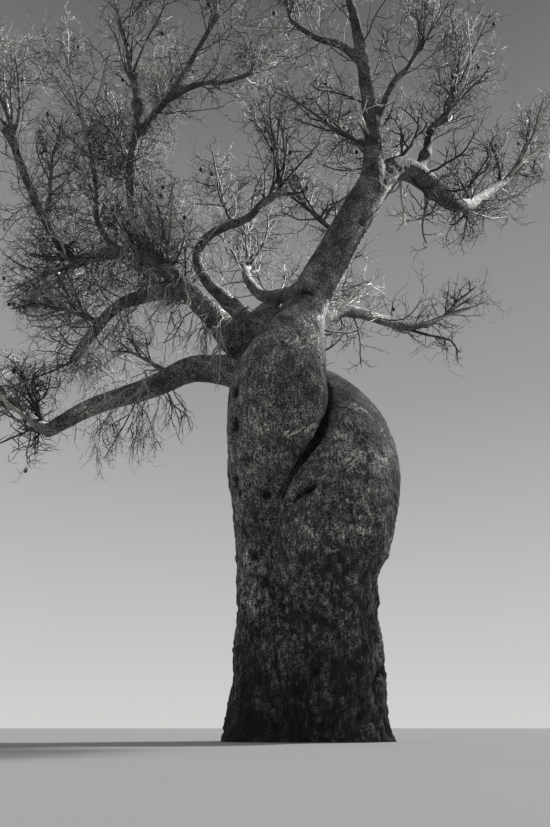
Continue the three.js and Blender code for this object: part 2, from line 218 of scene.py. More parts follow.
shaded = bpy.data.collections.new("shaded")  # the lamps leave the floor out
shaded.objects.link(floor)
shaded.collection_objects[0].light_linking.link_state = "EXCLUDE"
for name, lamp in LAMPS.items():
    spot = bpy.data.lights.new(name, "SPOT")
    spot.energy = lamp.strength * 4 * math.pi * lamp.away ** 2
    spot.shadow_soft_size = lamp.away * LAMP_SIZE
    spot.spot_size = 2 * math.atan(lamp.reach / lamp.away)
    spot.spot_blend = FADING
    stand = placed(name, spot)
    stand.location = Vector(lamp.aim) + Vector(lamp.bearing).normalized() * lamp.away
    stand.rotation_euler = Vector(lamp.bearing).to_track_quat("Z", "Y").to_euler()
    stand.light_linking.receiver_collection = shaded

# The limbs. Two swollen stems rise from one foot and wind once round each other. The boughs
# leave their tops, and each other, as single tapering limbs. Every limb is laid here as a line.
# Stations of the stems, from below the ground: across, back, up and radius.
STEMS = {
    "left_stem": [
        (-0.54, 0.12, -0.35, 1.01), (-0.54, 0.12, 0, 0.95), (-0.5, 0.16, 0.9, 0.89),
        (-0.47, 0.26, 2.1, 0.86), (-0.43, 0.42, 3.3, 0.93), (-0.44, 0.26, 4.4, 1.03),
        (-0.48, -0.06, 5.4, 1.1), (-0.5, -0.4, 6.4, 1.13), (-0.43, -0.52, 7.3, 1.055),
        (-0.17, -0.5, 8.2, 0.8), (0.07, -0.43, 9, 0.59), (0.275, -0.38, 9.65, 0.5),
    ],
    "right_stem": [
        (0.56, -0.06, -0.35, 0.99), (0.56, -0.06, 0, 0.93), (0.62, -0.12, 0.9, 0.91),
        (0.57, -0.25, 2.1, 0.85), (0.5, -0.43, 3.2, 1.07), (0.69, -0.33, 4.2, 1.235),
        (0.9, 0.06, 5.2, 1.24), (0.9, 0.46, 6.2, 1.19), (0.56, 0.9, 7.1, 1.08),
        (0.02, 1.17, 7.75, 0.96), (-0.52, 1.12, 8.45, 0.86), (-0.6, 0.62, 9.85, 0.66),
    ],
}

# Boughs: the parent, the share of its length where the bough starts on its middle line, the
# first and last radius, and the waypoints after that.
BOUGHS = {
    "leaning_bough": ("left_stem", 1, 0.49, 0.425,
        [(0.74, -0.48, 10.55), (1.25, -0.68, 11.5), (1.96, -1, 12.75)]),
    "upright_bough": ("leaning_bough", 1, 0.3, 0.105,
        [(2.01, -1.25, 13.6), (1.96, -1.62, 14.55), (1.71, -2.4, 16), (1.4, -3.15, 17)]),
    "right_bough": ("leaning_bough", 0.9, 0.38, 0.225,
        [(2.5, -0.9, 13.4), (3, -0.7, 13.7), (3.56, -0.4, 13.6), (4.18, 0, 13.4)]),
    "far_right_bough": ("right_bough", 1, 0.215, 0.11,
        [(4.75, 0.35, 13.45), (5.3, 0.6, 13.9), (6.3, 0.9, 14.9)]),
    "right_riser": ("right_bough", 0.62, 0.135, 0.075,
        [(3.62, -0.65, 14.45), (3.8, -0.75, 15.2), (4.35, -0.7, 15.75)]),
    "right_back_bough": ("right_bough", 0.45, 0.14, 0.06,
        [(2.65, -0.1, 14.3), (2.35, 0.35, 15)]),
    "top_left_bough": ("upright_bough", 0.72, 0.11, 0.055,
        [(1.15, -2.38, 16.45), (0.56, -2.3, 16.85), (-0.15, -2.35, 17.55)]),
    "top_right_bough": ("upright_bough", 0.42, 0.1, 0.05,
        [(2.55, -1.95, 15.45), (3, -2, 16.05), (3.4, -2.2, 16.85)]),
    "low_right_bough": ("right_stem", 0.88, 0.3, 0.13,
        [(0.15, 1.5, 9.6), (0.95, 1.7, 10.65), (1.75, 2.1, 11.05), (3.3, 3, 11.15)]),
    "low_left_bough": ("right_stem", 0.88, 0.4, 0.185,
        [(-1.75, 0.7, 8.25), (-2.65, 0.65, 8.25), (-3.72, 1, 7.93), (-5.3, 1.6, 7.7),
            (-6.65, 2.2, 7.25)]),
    "left_bough": ("right_stem", 0.93, 0.42, 0.24,
        [(-1.5, 0.45, 8.95), (-2.1, 0.25, 9.55), (-2.8, 0, 10.2)]),
    "arch_bough": ("left_bough", 1, 0.225, 0.115,
        [(-3.3, 0.2, 10.33), (-4, 0.52, 10.42), (-4.8, 0.8, 10.25), (-5.53, 1.15, 9.5),
            (-5.95, 1.4, 8.95)]),
    "far_left_bough": ("left_bough", 0.95, 0.235, 0.15,
        [(-3.3, -0.15, 10.7), (-3.95, -0.15, 11.2), (-5, 0.15, 11.55), (-5.95, 0.45, 11.48)]),
    "far_left_riser": ("far_left_bough", 1, 0.14, 0.085,
        [(-6.35, 0.3, 11.9), (-6.9, -0.2, 12.7), (-7.4, -0.9, 13.8), (-7.65, -1.35, 14.5)]),
    "left_riser": ("far_left_bough", 0.68, 0.095, 0.05,
        [(-5.3, -0.15, 12.35), (-5.35, -0.5, 13.1), (-5.45, -1, 14)]),
    "upper_left_bough": ("far_left_bough", 0.32, 0.165, 0.075,
        [(-4.23, -0.45, 12.3), (-4.35, -1, 13.35), (-4.16, -1.65, 14.45), (-4.2, -2.15, 15.6)]),
    "inner_riser": ("upper_left_bough", 0.66, 0.1, 0.05,
        [(-3.8, -1.7, 14.45), (-3.2, -2.05, 15.05), (-2.5, -2.5, 16.3), (-2.05, -2.8, 17.1)]),
    "reaching_bough": ("inner_riser", 0.42, 0.075, 0.045,
        [(-2.6, -1.95, 15.45), (-1.9, -1.75, 15.85), (-1.15, -1.6, 16.4)]),
    "inner_left_bough": ("right_stem", 0.95, 0.33, 0.16,
        [(-1.25, 0.85, 9.8), (-1.8, 0.85, 10.45), (-2.33, 0.8, 11)]),
    "curved_bough": ("inner_left_bough", 1, 0.155, 0.075,
        [(-2.64, 0.7, 11.5), (-2.68, 0.6, 12.05), (-2.25, 0.38, 12.48), (-1.3, 0, 12.65),
            (-0.9, -0.4, 12.8), (-0.4, -0.6, 12.97)]),
    "back_left_bough": ("leaning_bough", 0.12, 0.21, 0.085,
        [(-0.3, 0.15, 10.15), (-0.88, 0.6, 10.5), (-1.27, 1.05, 11.3), (-1.45, 1.65, 12.25),
            (-1.5, 2.8, 13.2)]),
    "back_right_bough": ("right_stem", 0.78, 0.33, 0.12,
        [(0.25, 2.2, 8.9), (0.5, 3.2, 10.4), (0.75, 4.3, 12), (0.95, 5, 13.4)]),
    "left_back_bough": ("left_bough", 0.8, 0.19, 0.095,
        [(-2.9, 0.9, 10.9), (-3.5, 2, 11.9), (-4.2, 3.2, 12.9)]),
}
FEW, MANY = 2, 10  # samples between two waypoints: for the rule of growth, and for the bark
APART = 1e-4  # shares of a line this far to both sides give its direction

Line = namedtuple("Line", "at along radius")


def through(values, share):
    """Points of a smooth curve through the values, at shares of its length from 0 to 1."""
    values = np.vstack([2 * values[0] - values[1], values, 2 * values[-1] - values[-2]])
    place = np.clip(share, 0, 1) * (len(values) - 3)
    i = np.minimum(place.astype(int), len(values) - 4)
    w = (place - i)[:, None]
    before, start, end, after = (values[i + k] for k in range(4))
    leave, arrive = (end - before) / 2, (after - start) / 2
    square = 3 * (end - start) - 2 * leave - arrive
    cube = 2 * (start - end) + leave + arrive
    return start + leave * w + square * w**2 + cube * w**3


def unit(vectors):
    return vectors / np.linalg.norm(vectors, axis=-1, keepdims=True)


def smooth_line(points, radii, samples):
    """A line through waypoints, with a place, a direction and a radius at each sample."""
    points = np.array(points, float)
    share = np.linspace(0, 1, (len(points) - 1) * samples + 1)
    along = unit(through(points, share + APART) - through(points, share - APART))
    return Line(through(points, share), along, radii(share))


def on_line(line, share):
    """The place, direction and radius at a share of a line."""
    place = min(share, 1) * (len(line.at) - 1)
    i = min(int(place), len(line.at) - 2)
    at, along, radius = (part[i] + (part[i + 1] - part[i]) * (place - i) for part in line)
    return Line(at, unit(along), radius)


def stem_line(stations, samples):
    stations = np.array(stations, float)
    return smooth_line(stations[:, :3], lambda t: through(stations[:, 3:], t)[:, 0], samples)


def bough_line(parent, share, first, last, route, samples):
    foot = on_line(parent, share)
    line = smooth_line([foot.at, *route], lambda t: first + (last - first) * t, samples)
    if share == 1:
        line.along[0] = foot.along
    return line


lines = {name: stem_line(stations, FEW) for name, stations in STEMS.items()}
fine_lines = {name: stem_line(stations, MANY) for name, stations in STEMS.items()}
for name, (parent, *rest) in BOUGHS.items():
    lines[name] = bough_line(lines[parent], *rest, FEW)
    fine_lines[name] = bough_line(lines[parent], *rest, MANY)

Stretches = namedtuple("Stretches", "start run square radius owner")


def stretches(some_lines):
    """The straight stretches of some lines, with the larger end radius and whose they are."""
    start = np.vstack([line.at[:-1] for line in some_lines])
    run = np.vstack([line.at[1:] - line.at[:-1] for line in some_lines])
    radius = np.concatenate([np.maximum(line.radius[1:], line.radius[:-1]) for line in some_lines])
    owner = np.concatenate([np.full(len(line.at) - 1, i) for i, line in enumerate(some_lines)])
    return Stretches(start, run, (run**2).sum(1), radius, owner)


def gaps(points, to):
    """The gap from each point to each stretch's surface, as rows and columns."""
    along = points @ to.run.T - (to.start * to.run).sum(1)
    share = np.clip(along / to.square, 0, 1)
    straight = (points**2).sum(1)[:, None] - 2 * points @ to.start.T + (to.start**2).sum(1)
    apart = np.maximum(straight - 2 * share * along + share**2 * to.square, 0)
    return np.sqrt(apart) - to.radius


limb_stretches = stretches(lines.values())

# The wood of the stems and boughs. It is one grown mass with a grey, fleshy bark: pebbled and
# nearly smooth above, furrowed and lumpy at the foot, creased where it bends and folded where
# the two stems press together. Each bough swells in a collar where it leaves its parent.
FLARE = {"height": 0.7, "depth": 0.07, "ribs": 5}  # root flare: depth as a share of the radius
STEM_SIDES, BOUGH_SIDES = 40, 20
GRAIN = 0.03  # size of a face of the bark's mesh
SOFTENING = {"factor": 0.6, "iterations": 4}  # rounds the forks off
SHRINKAGE = 0.0004  # what that takes off a limb's radius, times that radius
COLLAR = {"swell": 0.4, "reach": 1.2}  # reach in radii of the bough
KNOBS = {  # share, swell, half length
    "far_left_riser": (0.98, 1.2, 0.2),
    "upper_left_bough": (0.84, 0.9, 0.16),
    "right_riser": (0.3, 0.5, 0.15),
}
CROTCH = {"at": (-0.72, 0.66, 9.72), "radius": 0.5}  # the swelling that the left boughs leave from
FUSED = [  # stations of the wood that fills the foot's front, where the stems have grown together
    (-0.12, -0.16, -0.35, 0.6), (-0.12, -0.18, 0.8, 0.62), (-0.24, -0.12, 2, 0.6),
    (-0.3, 0.05, 2.9, 0.5),
]

# Pieces of the wood, from the ground up, cut flat from each other inside the bark.
LEVELS = {
    "trunk_foot": 0, "trunk_waist": 3.1, "trunk_shoulders": 6.3,
    "lower_boughs": 9, "upper_boughs": 11.4,
}
TOP = 25  # above every bough

# Marks in the front of the bark: depth, half width, darkness of the shade painted in them, and
# where they run, across and up.
MARKS = [
    (0.09, 0.11, 1, [(-1.41, 6.62), (-1.41, 6.72)]),  # pits, where shoots have dropped
    (0.09, 0.11, 1, [(-1.43, 5.9), (-1.43, 6.02)]),
    (0.08, 0.09, 1, [(-1.36, 4.84), (-1.36, 4.9)]),
    (0.1, 0.07, 0.8, [(-1.31, 4.57), (-1.31, 4.62)]),
    (0.14, 0.1, 1, [(-0.76, 4.43), (-0.72, 4.43)]),
    (0.04, 0.05, 0.7, [(-1.07, 4.65), (-1.07, 4.7)]),
    (0.09, 0.09, 0.9, [(-0.98, 3.3), (-0.98, 3.38)]),
    (0.1, 0.1, 0.8, [(-0.76, 2.8), (-0.76, 2.86)]),
    (0.05, 0.1, 1, [(0.1, 9.46), (0.27, 9.45)]),  # the oval hole at the neck
    (0.28, 0.08, 1, [(-0.2, 4.27), (-0.03, 4.36), (0.14, 4.42)]),  # the torn gash
    (0.05, 0.05, 0.3, [(-0.4, 4.15), (-0.62, 3.79), (-0.82, 3.32), (-0.8, 2.95), (-0.6, 2.6),
        (-0.42, 2.25)]),  # the seam where the stems have fused
    (0.05, 0.025, 0.6, [(1.32, 5.1), (1.24, 4.66), (1.17, 4.35)]),  # a crack in the bulge
    (0.13, 0.11, 0.6, [(0.12, 1.13), (0.17, 1.27)]),  # hollows of the foot
    (0.1, 0.12, 0.5, [(0.84, 1.22), (0.9, 1.2)]),
    (0.09, 0.11, 0.5, [(0.46, 0.81), (0.52, 0.8)]),
    (0.07, 0.1, 0.4, [(-0.5, 1.92), (-0.5, 1.98)]),
    (0.1, 0.1, 0.5, [(-0.14, 0.75), (-0.08, 0.75)]),
    (0.1, 0.06, 0.6, [(1.35, 1.16), (1.21, 0.85)]),
    (0.05, 0.07, 0.7, [(1.6, 11.5), (1.62, 11.53)]),  # knots of the boughs
    (0.05, 0.06, 0.7, [(1.92, 13.06), (1.92, 13.1)]),
]

# Pale, smooth places in the front: painted sunlight, and real wear at the scratches and the lip of
# the gash. Half width, and where they run, across and up.
WORN_AND_SUNLIT = [
    (0.05, [(0.55, 8.9), (0.1, 8.15)]),  # rays of painted sunlight from the foot of the low right bough
    (0.04, [(0.55, 8.9), (0.22, 8.6), (-0.1, 8.3)]),
    (0.07, [(0.5, 8.35), (0.1, 7.85), (-0.25, 7.7)]),
    (0.05, [(0.45, 8.1), (0.0, 7.6)]),
    (0.06, [(0.44, 7.75), (0.47, 7.3)]),  # painted sun flecks on the edge of the left stem, over the fold
    (0.07, [(0.5, 7.1), (0.42, 6.65)]),
    (0.1, [(0.28, 5.85), (-0.05, 5.7), (-0.3, 5.6)]),
    (0.07, [(1.2, 6.6), (1.5, 6.3)]),  # painted sun flecks on the shoulder of the right stem
    (0.14, [(0.85, 4.85), (1.12, 5.2)]),
    (0.08, [(1.75, 5.95), (1.87, 5.55)]),
    (0.03, [(0.81, 4.1), (0.95, 4.0)]),  # scratches in the bulge
    (0.035, [(1.04, 3.8), (0.9, 3.42)]),
    (0.03, [(0.75, 3.72), (0.83, 3.6)]),
    (0.025, [(-0.25, 3.65), (-0.32, 2.97)]),
    (0.03, [(-0.3, 4.16), (-0.05, 4.29)]),  # the lip of the gash
    (0.1, [(2.1, 12.2), (2.41, 12.76), (2.62, 13.1)]),  # painted sunlight on the flank of the fork above
    (0.09, [(-2.42, 10.1), (-2.15, 9.88), (-1.8, 9.56)]),  # painted sunlight on the tops of the left boughs
    (0.06, [(-1.78, 10.6), (-1.45, 10.28), (-1.15, 10.0)]),
]

WORN_AND_SUNLIT_REACH = 1.6  # how far they fade out, in half widths
FRONT = -9  # a place in front of every limb
CUTS = 40  # the bark's points are measured in as many lots, to save memory

# The fold between the stems, by height: how deep it is and how dark the shade painted in it is.
# Shade is painted within its half width, and on the two stems beside it where their skins touch.
FOLD = {
    "heights": [2.4, 3.6, 4.8, 5.6, 7.6, 8.6], "depths": [0.03, 0.06, 0.16, 0.24, 0.24, 0.1],
    "darkness": [0.1, 0.3, 0.8, 1, 1, 0.3], "reach": 0.065,
    "touching": 0.1, "beside": 0.32, "left_shade": 0.6, "right_shade": 0.35,
}

# How rough the bark is, by height: on the tree, and on the right stem.
ROUGH = ([0, 2.4, 4.2, 6.5, 9], [1, 0.9, 0.5, 0.3, 0.22])
ROUGH_RIGHT = ([0, 2.4, 4.5, 6], [1, 0.9, 0.45, 0.22])
FULL_SIZE = 0.6  # radius of the limbs whose relief has its full size

# Kinds of relief: how high it stands, the size of its lumps, their octaves, how much taller than
# wide they are, and a shift that gives each kind lumps of its own.
Kind = namedtuple("Kind", "height size octaves tall shift", defaults=[2, 1, 0])
SWELLS = Kind(0.035, 1.3)
LUMPS = Kind(0.07, 0.4, 3, 1.5)
WARTS = Kind(0.035, 0.13, 3, 1.4, 5)
FURROWS = Kind(0.08, 0.17, 2, 2.3, 7)
PEBBLES = Kind(0.006, 0.08, shift=3)
WRINKLES = Kind(0.014, 0.09)  # they slant across the right stem
SLANT = {"way": (0.72, 0.1, 0.68), "longer": 0.8}
WRINKLED = ([3, 4.2, 7.6], [0, 1, 0.7])  # by height
RINGS = {"depth": 0.012, "apart": 0.34, "half": 0.018}  # they go round the boughs
RING_WAVES, RING_GAPS = Kind(0.9, 0.9), Kind(1.5, 0.5, shift=5)
STREAKS = Kind(2.2, 0.07, shift=9)  # in the pale places, worn and painted sunlit
TEARS = Kind(0.045, 0.11)  # at the edges of marks and of the pale places

# How dark the painted shade makes what is hollow, and the half width of its lines in furrows
# and wrinkles.
HOLLOW_SHADE_DARKNESS = {"furrow": 0.55, "wart": 1.1, "most": 0.75, "wrinkle": 0.4, "ring": 0.45}
FURROW_HALF, WRINKLE_HALF = 0.06, 0.05
FURROW_MOST, WRINKLE_MOST = 0.35, 0.3  # noise above which they stand flat


def tube(line, sides, flare=None):
    """A closed tube along a line: a ring of edges at each sample, bridged to the one before."""
    shape = bmesh.new()
    side = Vector((1, 0, 0))
    before = []
    for i, (at, along, radius) in enumerate(zip(*line)):
        at, along = Vector(at), Vector(along)
        side = (side - along * side.dot(along)).normalized()
        over = along.cross(side)
        turn = Matrix((side, over, along)).transposed().to_4x4()
        place = Matrix.Translation(at) @ turn @ Matrix.Diagonal((radius, radius, 1, 1))
        end = i in (0, len(line.at) - 1)
        ring = bmesh.ops.create_circle(shape, segments=sides, radius=1, cap_ends=end, matrix=place)
        if flare and at.z < flare["height"]:
            share = 1 - at.z / flare["height"]
            for v in ring["verts"]:
                angle = math.atan2((v.co - at).dot(over), (v.co - at).dot(side))
                rib = 1 + math.cos(flare["ribs"] * angle)
                v.co = at + (v.co - at) * (1 + flare["depth"] * share**2 * rib)
        edges = list({e for v in ring["verts"] for e in v.link_edges})
        if before:
            bmesh.ops.bridge_loops(shape, edges=before + edges)
        before = edges
    bmesh.ops.recalc_face_normals(shape, faces=shape.faces)
    return shape


def joined(shapes):
    """Several shapes as one mesh."""
    whole = bmesh.new()
    for shape in shapes:
        part = as_mesh(shape, "part")
        whole.from_mesh(part)
        bpy.data.meshes.remove(part)
    return as_mesh(whole, "whole")


def modified(mesh, modifiers):
    """A mesh as its modifiers leave it."""
    holder = placed("holder", mesh)
    for kind, settings in modifiers:
        modifier = holder.modifiers.new(kind, kind)
        for name, value in settings.items():
            setattr(modifier, name, value)
    evaluated = holder.evaluated_get(bpy.context.evaluated_depsgraph_get())
    made = bpy.data.meshes.new_from_object(evaluated)
    bpy.data.objects.remove(holder)
    return made


def read(mesh, name):
    """A vector of each of a mesh's points, as rows: co or normal."""
    values = np.empty(len(mesh.vertices) * 3, np.float32)
    mesh.vertices.foreach_get(name, values)
    return values.reshape(-1, 3).astype(float)


def clouds(at, kind):
    """Noise from about -1 to 1 at each point, of one kind of relief."""
    places = (at + kind.shift) / (kind.size * np.array((1, 1, kind.tall)))
    return np.array([noise.fractal(place, 1, 2, kind.octaves) for place in places.tolist()])


def line_of(distance, half):
    """A soft line: 1 where the distance from it is 0, fading out at its half width."""
    return np.exp(-(distance / half) ** 2)


def near_stroke(at, points, reach):
    """How near each point is to a stroke: 1 on it, and fading out at its half width."""
    gap = gaps(at, stretches([Line(points, None, np.zeros(len(points)))])).min(1)
    return line_of(gap, reach)


def on_front(tree, places):
    """The points of a surface that are seen straight from the front at these places."""
    ahead = Vector((0, 1, 0))
    return np.array([tree.ray_cast(Vector((x, FRONT, z)), ahead)[0] for x, z in places])


def carve(mesh, strokes):
    """Gives bark its relief, and notes in two attributes the shade painted in its hollows and the
    pale painted on it, as sunlight and as wear.
    """
    at, outwards = read(mesh, "co"), read(mesh, "normal")
    height = at[:, 2]
    lots = np.array_split(at, CUTS)
    nearest = np.concatenate([gaps(lot, limb_stretches).argmin(1) for lot in lots])
    limb = limb_stretches.owner[nearest]
    on_right, on_bough = limb == list(STEMS).index("right_stem"), limb >= len(STEMS)
    size = np.clip(limb_stretches.radius[nearest] / FULL_SIZE, 0.1, 1)
    rough = np.interp(height, *ROUGH)
    rough[on_right] = np.interp(height[on_right], *ROUGH_RIGHT)

    skins = [stretches([fine_lines[stem]]) for stem in STEMS]
    left, right = (np.concatenate([gaps(lot, skin).min(1) for lot in lots]) for skin in skins)
    touching = np.minimum(left, right) < FOLD["touching"]
    fold = line_of(left - right, FOLD["reach"]) * touching
    shade = np.where(left < right, FOLD["left_shade"], FOLD["right_shade"])
    beside = line_of(left - right, FOLD["beside"]) * touching * shade

    slant = unit(np.array(SLANT["way"]))
    stretched = at - SLANT["longer"] * (at @ slant)[:, None] * slant
    wrinkle = np.abs(clouds(stretched, WRINKLES))
    wrinkled = on_right * np.interp(height, *WRINKLED)
    run = (at * limb_stretches.run[nearest]).sum(1) / np.sqrt(limb_stretches.square[nearest])
    turns = run / RINGS["apart"] + RING_WAVES.height * clouds(at, RING_WAVES)
    ring = np.abs(np.mod(turns, 1) - 0.5) * RINGS["apart"]
    ringed = on_bough * line_of(ring, RINGS["half"])
    ringed = ringed * np.clip(0.5 + RING_GAPS.height * clouds(at, RING_GAPS), 0, 1)

    warts = clouds(at, WARTS)
    furrow = np.abs(clouds(at, FURROWS))
    relief = SWELLS.height * size * clouds(at, SWELLS)
    relief += LUMPS.height * rough * size * clouds(at, LUMPS)
    relief += PEBBLES.height * clouds(at, PEBBLES)
    relief += WARTS.height * rough * size * warts
    relief += FURROWS.height * rough * size * np.minimum(furrow, FURROW_MOST)
    relief += WRINKLES.height * wrinkled * np.minimum(wrinkle, WRINKLE_MOST)
    relief -= RINGS["depth"] * size * ringed
    relief -= np.interp(height, FOLD["heights"], FOLD["depths"]) * fold

    # Painted shade: darker in furrows, between warts, in wrinkles and rings, and in and beside the
    # fold.
    hollow_shade = np.maximum.reduce([
        HOLLOW_SHADE_DARKNESS["furrow"] * rough * line_of(furrow, FURROW_HALF),
        np.clip(-HOLLOW_SHADE_DARKNESS["wart"] * warts * (0.25 + 0.75 * rough), 0, HOLLOW_SHADE_DARKNESS["most"]),
        HOLLOW_SHADE_DARKNESS["wrinkle"] * wrinkled * line_of(wrinkle, WRINKLE_HALF),
        HOLLOW_SHADE_DARKNESS["ring"] * ringed,
        np.maximum(fold, beside) * np.interp(height, FOLD["heights"], FOLD["darkness"]),
    ])
    streak = np.clip(0.65 + STREAKS.height * clouds(stretched, STREAKS), 0, 1)
    worn_and_sunlit = np.zeros(len(at))
    torn = [clouds(at, TEARS._replace(shift=shift)) for shift in (1, 2, 4)]
    ragged = at + TEARS.height * np.stack(torn, axis=1)
    # Marks are cut in and filled with painted shade; the other strokes are painted pale, mostly as
    # sunlight and in places as wear.
    for kind, depth, reach, dark, points in strokes:
        share = near_stroke(ragged, points, reach)
        if kind == "mark":
            relief -= depth * share
            hollow_shade = np.maximum(hollow_shade, dark * np.minimum(1.5 * share, 1))
        else:
            worn_and_sunlit = np.maximum(worn_and_sunlit, share * streak)

    mesh.vertices.foreach_set("co", (at + outwards * relief[:, None]).astype(np.float32).ravel())
    for name, values in (("hollow_shade", hollow_shade), ("worn_and_sunlit", worn_and_sunlit)):
        attribute = mesh.attributes.new(name, "FLOAT", "POINT")
        attribute.data.foreach_set("value", values.astype(np.float32))
    mesh.update()


# The bark's colours: patches from dark to pale, the painted shade in its hollows, and the pale
# of painted sunlight and of rubbed places.
PATCHES = [(0.4, "#363534"), (0.54, "#62615f"), (0.68, "#908f8d")]
HOLLOW_SHADE_TONE, RUBBED_AND_SUNLIT = "#0e0d0c", "#dcdad5"
PATCH, PLATE, STREAK, SPECKLE, PORE = 0.8, 0.12, 0.055, 0.036, 0.02  # sizes
PLATE_SQUEEZE, STREAK_SQUEEZE = 0.6, 0.22  # upwards, so that both are drawn out

# How strongly each grain shows: the range of its noise, and the tones that this gives.
CONTRAST = {
    "specks": (0.42, 0.58, 0.08, 2.15), "plates": (0.38, 0.62, 0.25, 1.65),
    "streaks": (0.38, 0.62, 0.4, 1.6),
}

# What changes with height: a range of heights, and the share or tone at its two ends.
BY_HEIGHT = {
    "softer": (8, 11.5, 0, 0.15), "plates": (2.5, 6, 1, 0.15), "streaks": (7, 9, 0.8, 0),
    "shade": (10, 13, 1, 0.63), "darker_low": (0.45, 3.6, 0.2, 1.27),
}
SOFTER_SPECKS = 0.75  # the tone that the specks come near to on the boughs
FLECKS, PALE_RANGE = 2.6, (1.85, 2.45)  # how ragged the pale places are, and the range over which they turn pale


def bark():
    """Living bark. Its grey skin is matt, blotched in patches up to a step wide and pebbled as
    finely as the view can show. Painted shade darkens what is hollow, and what is rubbed, and what
    is painted sunlit, is nearly white."""
    material, tree, shader = new_material("baobab_bark", 0.82)
    place = add(tree, "TexCoord").outputs["Object"]
    level = add(tree, "SeparateXYZ", {"Vector": place}).outputs["Z"]
    patches = graded(tree, grain(tree, place, PATCH, 6, 0.72), PATCHES)

    def at_height(name):
        return ranged(tree, level, *BY_HEIGHT[name])

    def drawn_out(squeeze, size, detail):
        way = add(tree, "VectorMath", {0: place, 1: (1, 1, squeeze)}, operation="MULTIPLY")
        return grain(tree, way.outputs[0], size, detail)

    # Pebbles, softer to see on the boughs.
    pebbles = grain(tree, place, SPECKLE, 3, 0.7)
    specks = ranged(tree, pebbles, *CONTRAST["specks"])
    specks = blended(tree, at_height("softer"), specks, SOFTER_SPECKS)

    # Coarse plates low down and upright streaks on the stems.
    plates = ranged(tree, drawn_out(PLATE_SQUEEZE, PLATE, 3), *CONTRAST["plates"])
    plates = blended(tree, at_height("plates"), 1.0, plates)
    streaks = ranged(tree, drawn_out(STREAK_SQUEEZE, STREAK, 2), *CONTRAST["streaks"])
    streaks = blended(tree, at_height("streaks"), 1.0, streaks)

    # Painted shade on the bark high up, and darker bark towards the foot.
    tone = product(tree, specks, plates, streaks, at_height("shade"), at_height("darker_low"))
    mottled = add(tree, "VectorMath", {0: patches, "Scale": tone}, operation="SCALE").outputs[0]

    # Painted shade in the hollows, then the pale places: painted sunlight, and rubbed bark in a
    # few.
    hollow_shade = add(tree, "Attribute", attribute_name="hollow_shade").outputs["Fac"]
    inputs = {"Fac": hollow_shade, "Color1": mottled, "Color2": linear(HOLLOW_SHADE_TONE)}
    shaded_bark = add(tree, "MixRGB", inputs).outputs[0]
    worn_and_sunlit = add(tree, "Attribute", attribute_name="worn_and_sunlit").outputs["Fac"]
    inputs = {0: pebbles, 1: FLECKS, 2: worn_and_sunlit}
    flecks = add(tree, "Math", inputs, operation="MULTIPLY_ADD").outputs[0]
    pale_share = ranged(tree, flecks, *PALE_RANGE)
    inputs = {"Fac": pale_share, "Color1": shaded_bark, "Color2": linear(RUBBED_AND_SUNLIT)}
    tree.links.new(add(tree, "MixRGB", inputs).outputs[0], shader.inputs["Base Color"])
    bump(tree, shader, (pebbles, 0.04, 0.9), (grain(tree, place, PORE), 0.01, 0.6))
    return material


def place_piece(name, mesh, materials, nodes):
    """A finished piece, riding on the tree in place of these solids."""
    for material in materials:
        mesh.materials.append(material)
    piece = placed(name, mesh)
    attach(piece, "root")
    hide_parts(*nodes)


def slice_between(mesh, name, low, high):
    """The part of a closed mesh between two levels, closed flat where it is cut."""
    shape = bmesh.new()
    shape.from_mesh(mesh)
    for level, up in ((low, -1), (high, 1)):
        cut = bmesh.ops.bisect_plane(shape, geom=[*shape.verts, *shape.edges, *shape.faces],
            plane_co=(0, 0, level), plane_no=(0, 0, up), clear_outer=True)["geom_cut"]
        brim = [e for e in cut if isinstance(e, bmesh.types.BMEdge)]
        bmesh.ops.holes_fill(shape, edges=brim)
        for edge in brim:
            edge.smooth = False
    for face in shape.faces:
        face.smooth = True
    return as_mesh(shape, name)


def collared(name):
    """A bough's fine line with its radii swollen at the foot, and at a knob."""
    line = fine_lines[name]
    parent, share, first = BOUGHS[name][:3]
    parent_radius = on_line(lines[parent], share).radius
    run = np.concatenate([[0], np.cumsum(np.linalg.norm(np.diff(line.at, axis=0), axis=1))])
    more = COLLAR["swell"] * np.clip(parent_radius / first - 1, 0, 1)
    swell = 1 + more * np.exp(-np.maximum(run - parent_radius, 0) / (COLLAR["reach"] * line.radius))
    if name in KNOBS:
        share, more, half = KNOBS[name]
        swell += more * line_of(run - share * run[-1], half)
    return Line(line.at, line.along, line.radius * swell + SHRINKAGE / line.radius)


crotch = bmesh.new()
bmesh.ops.create_icosphere(crotch, subdivisions=4, radius=CROTCH["radius"],
    matrix=Matrix.Translation(CROTCH["at"]))
wood = joined([
    crotch,
    tube(stem_line(FUSED, MANY), BOUGH_SIDES),
    *(tube(fine_lines[name], STEM_SIDES, FLARE) for name in STEMS),
    *(tube(collared(name), BOUGH_SIDES) for name in BOUGHS),
])
wood = modified(wood, [
    ("REMESH", {"mode": "VOXEL", "voxel_size": GRAIN}),
    ("SMOOTH", SOFTENING),
])
wood_shape = bmesh.new()
wood_shape.from_mesh(wood)
wood_tree = BVHTree.FromBMesh(wood_shape)
wood_shape.free()
strokes = [("mark", *mark[:3], on_front(wood_tree, mark[3])) for mark in MARKS]
strokes += [("worn_and_sunlit", 0, reach * WORN_AND_SUNLIT_REACH, 0, on_front(wood_tree, places))
    for reach, places in WORN_AND_SUNLIT]
carve(wood, strokes)
stem_bark = bark()
for (name, low), high in zip(LEVELS.items(), [*list(LEVELS.values())[1:], TOP]):
    covered = [limb for limb, line in fine_lines.items()
        if ((line.at[:, 2] + line.radius > low) & (line.at[:, 2] - line.radius < high)).any()]
    place_piece(name, slice_between(wood, name, low, high), [stem_bark], covered)

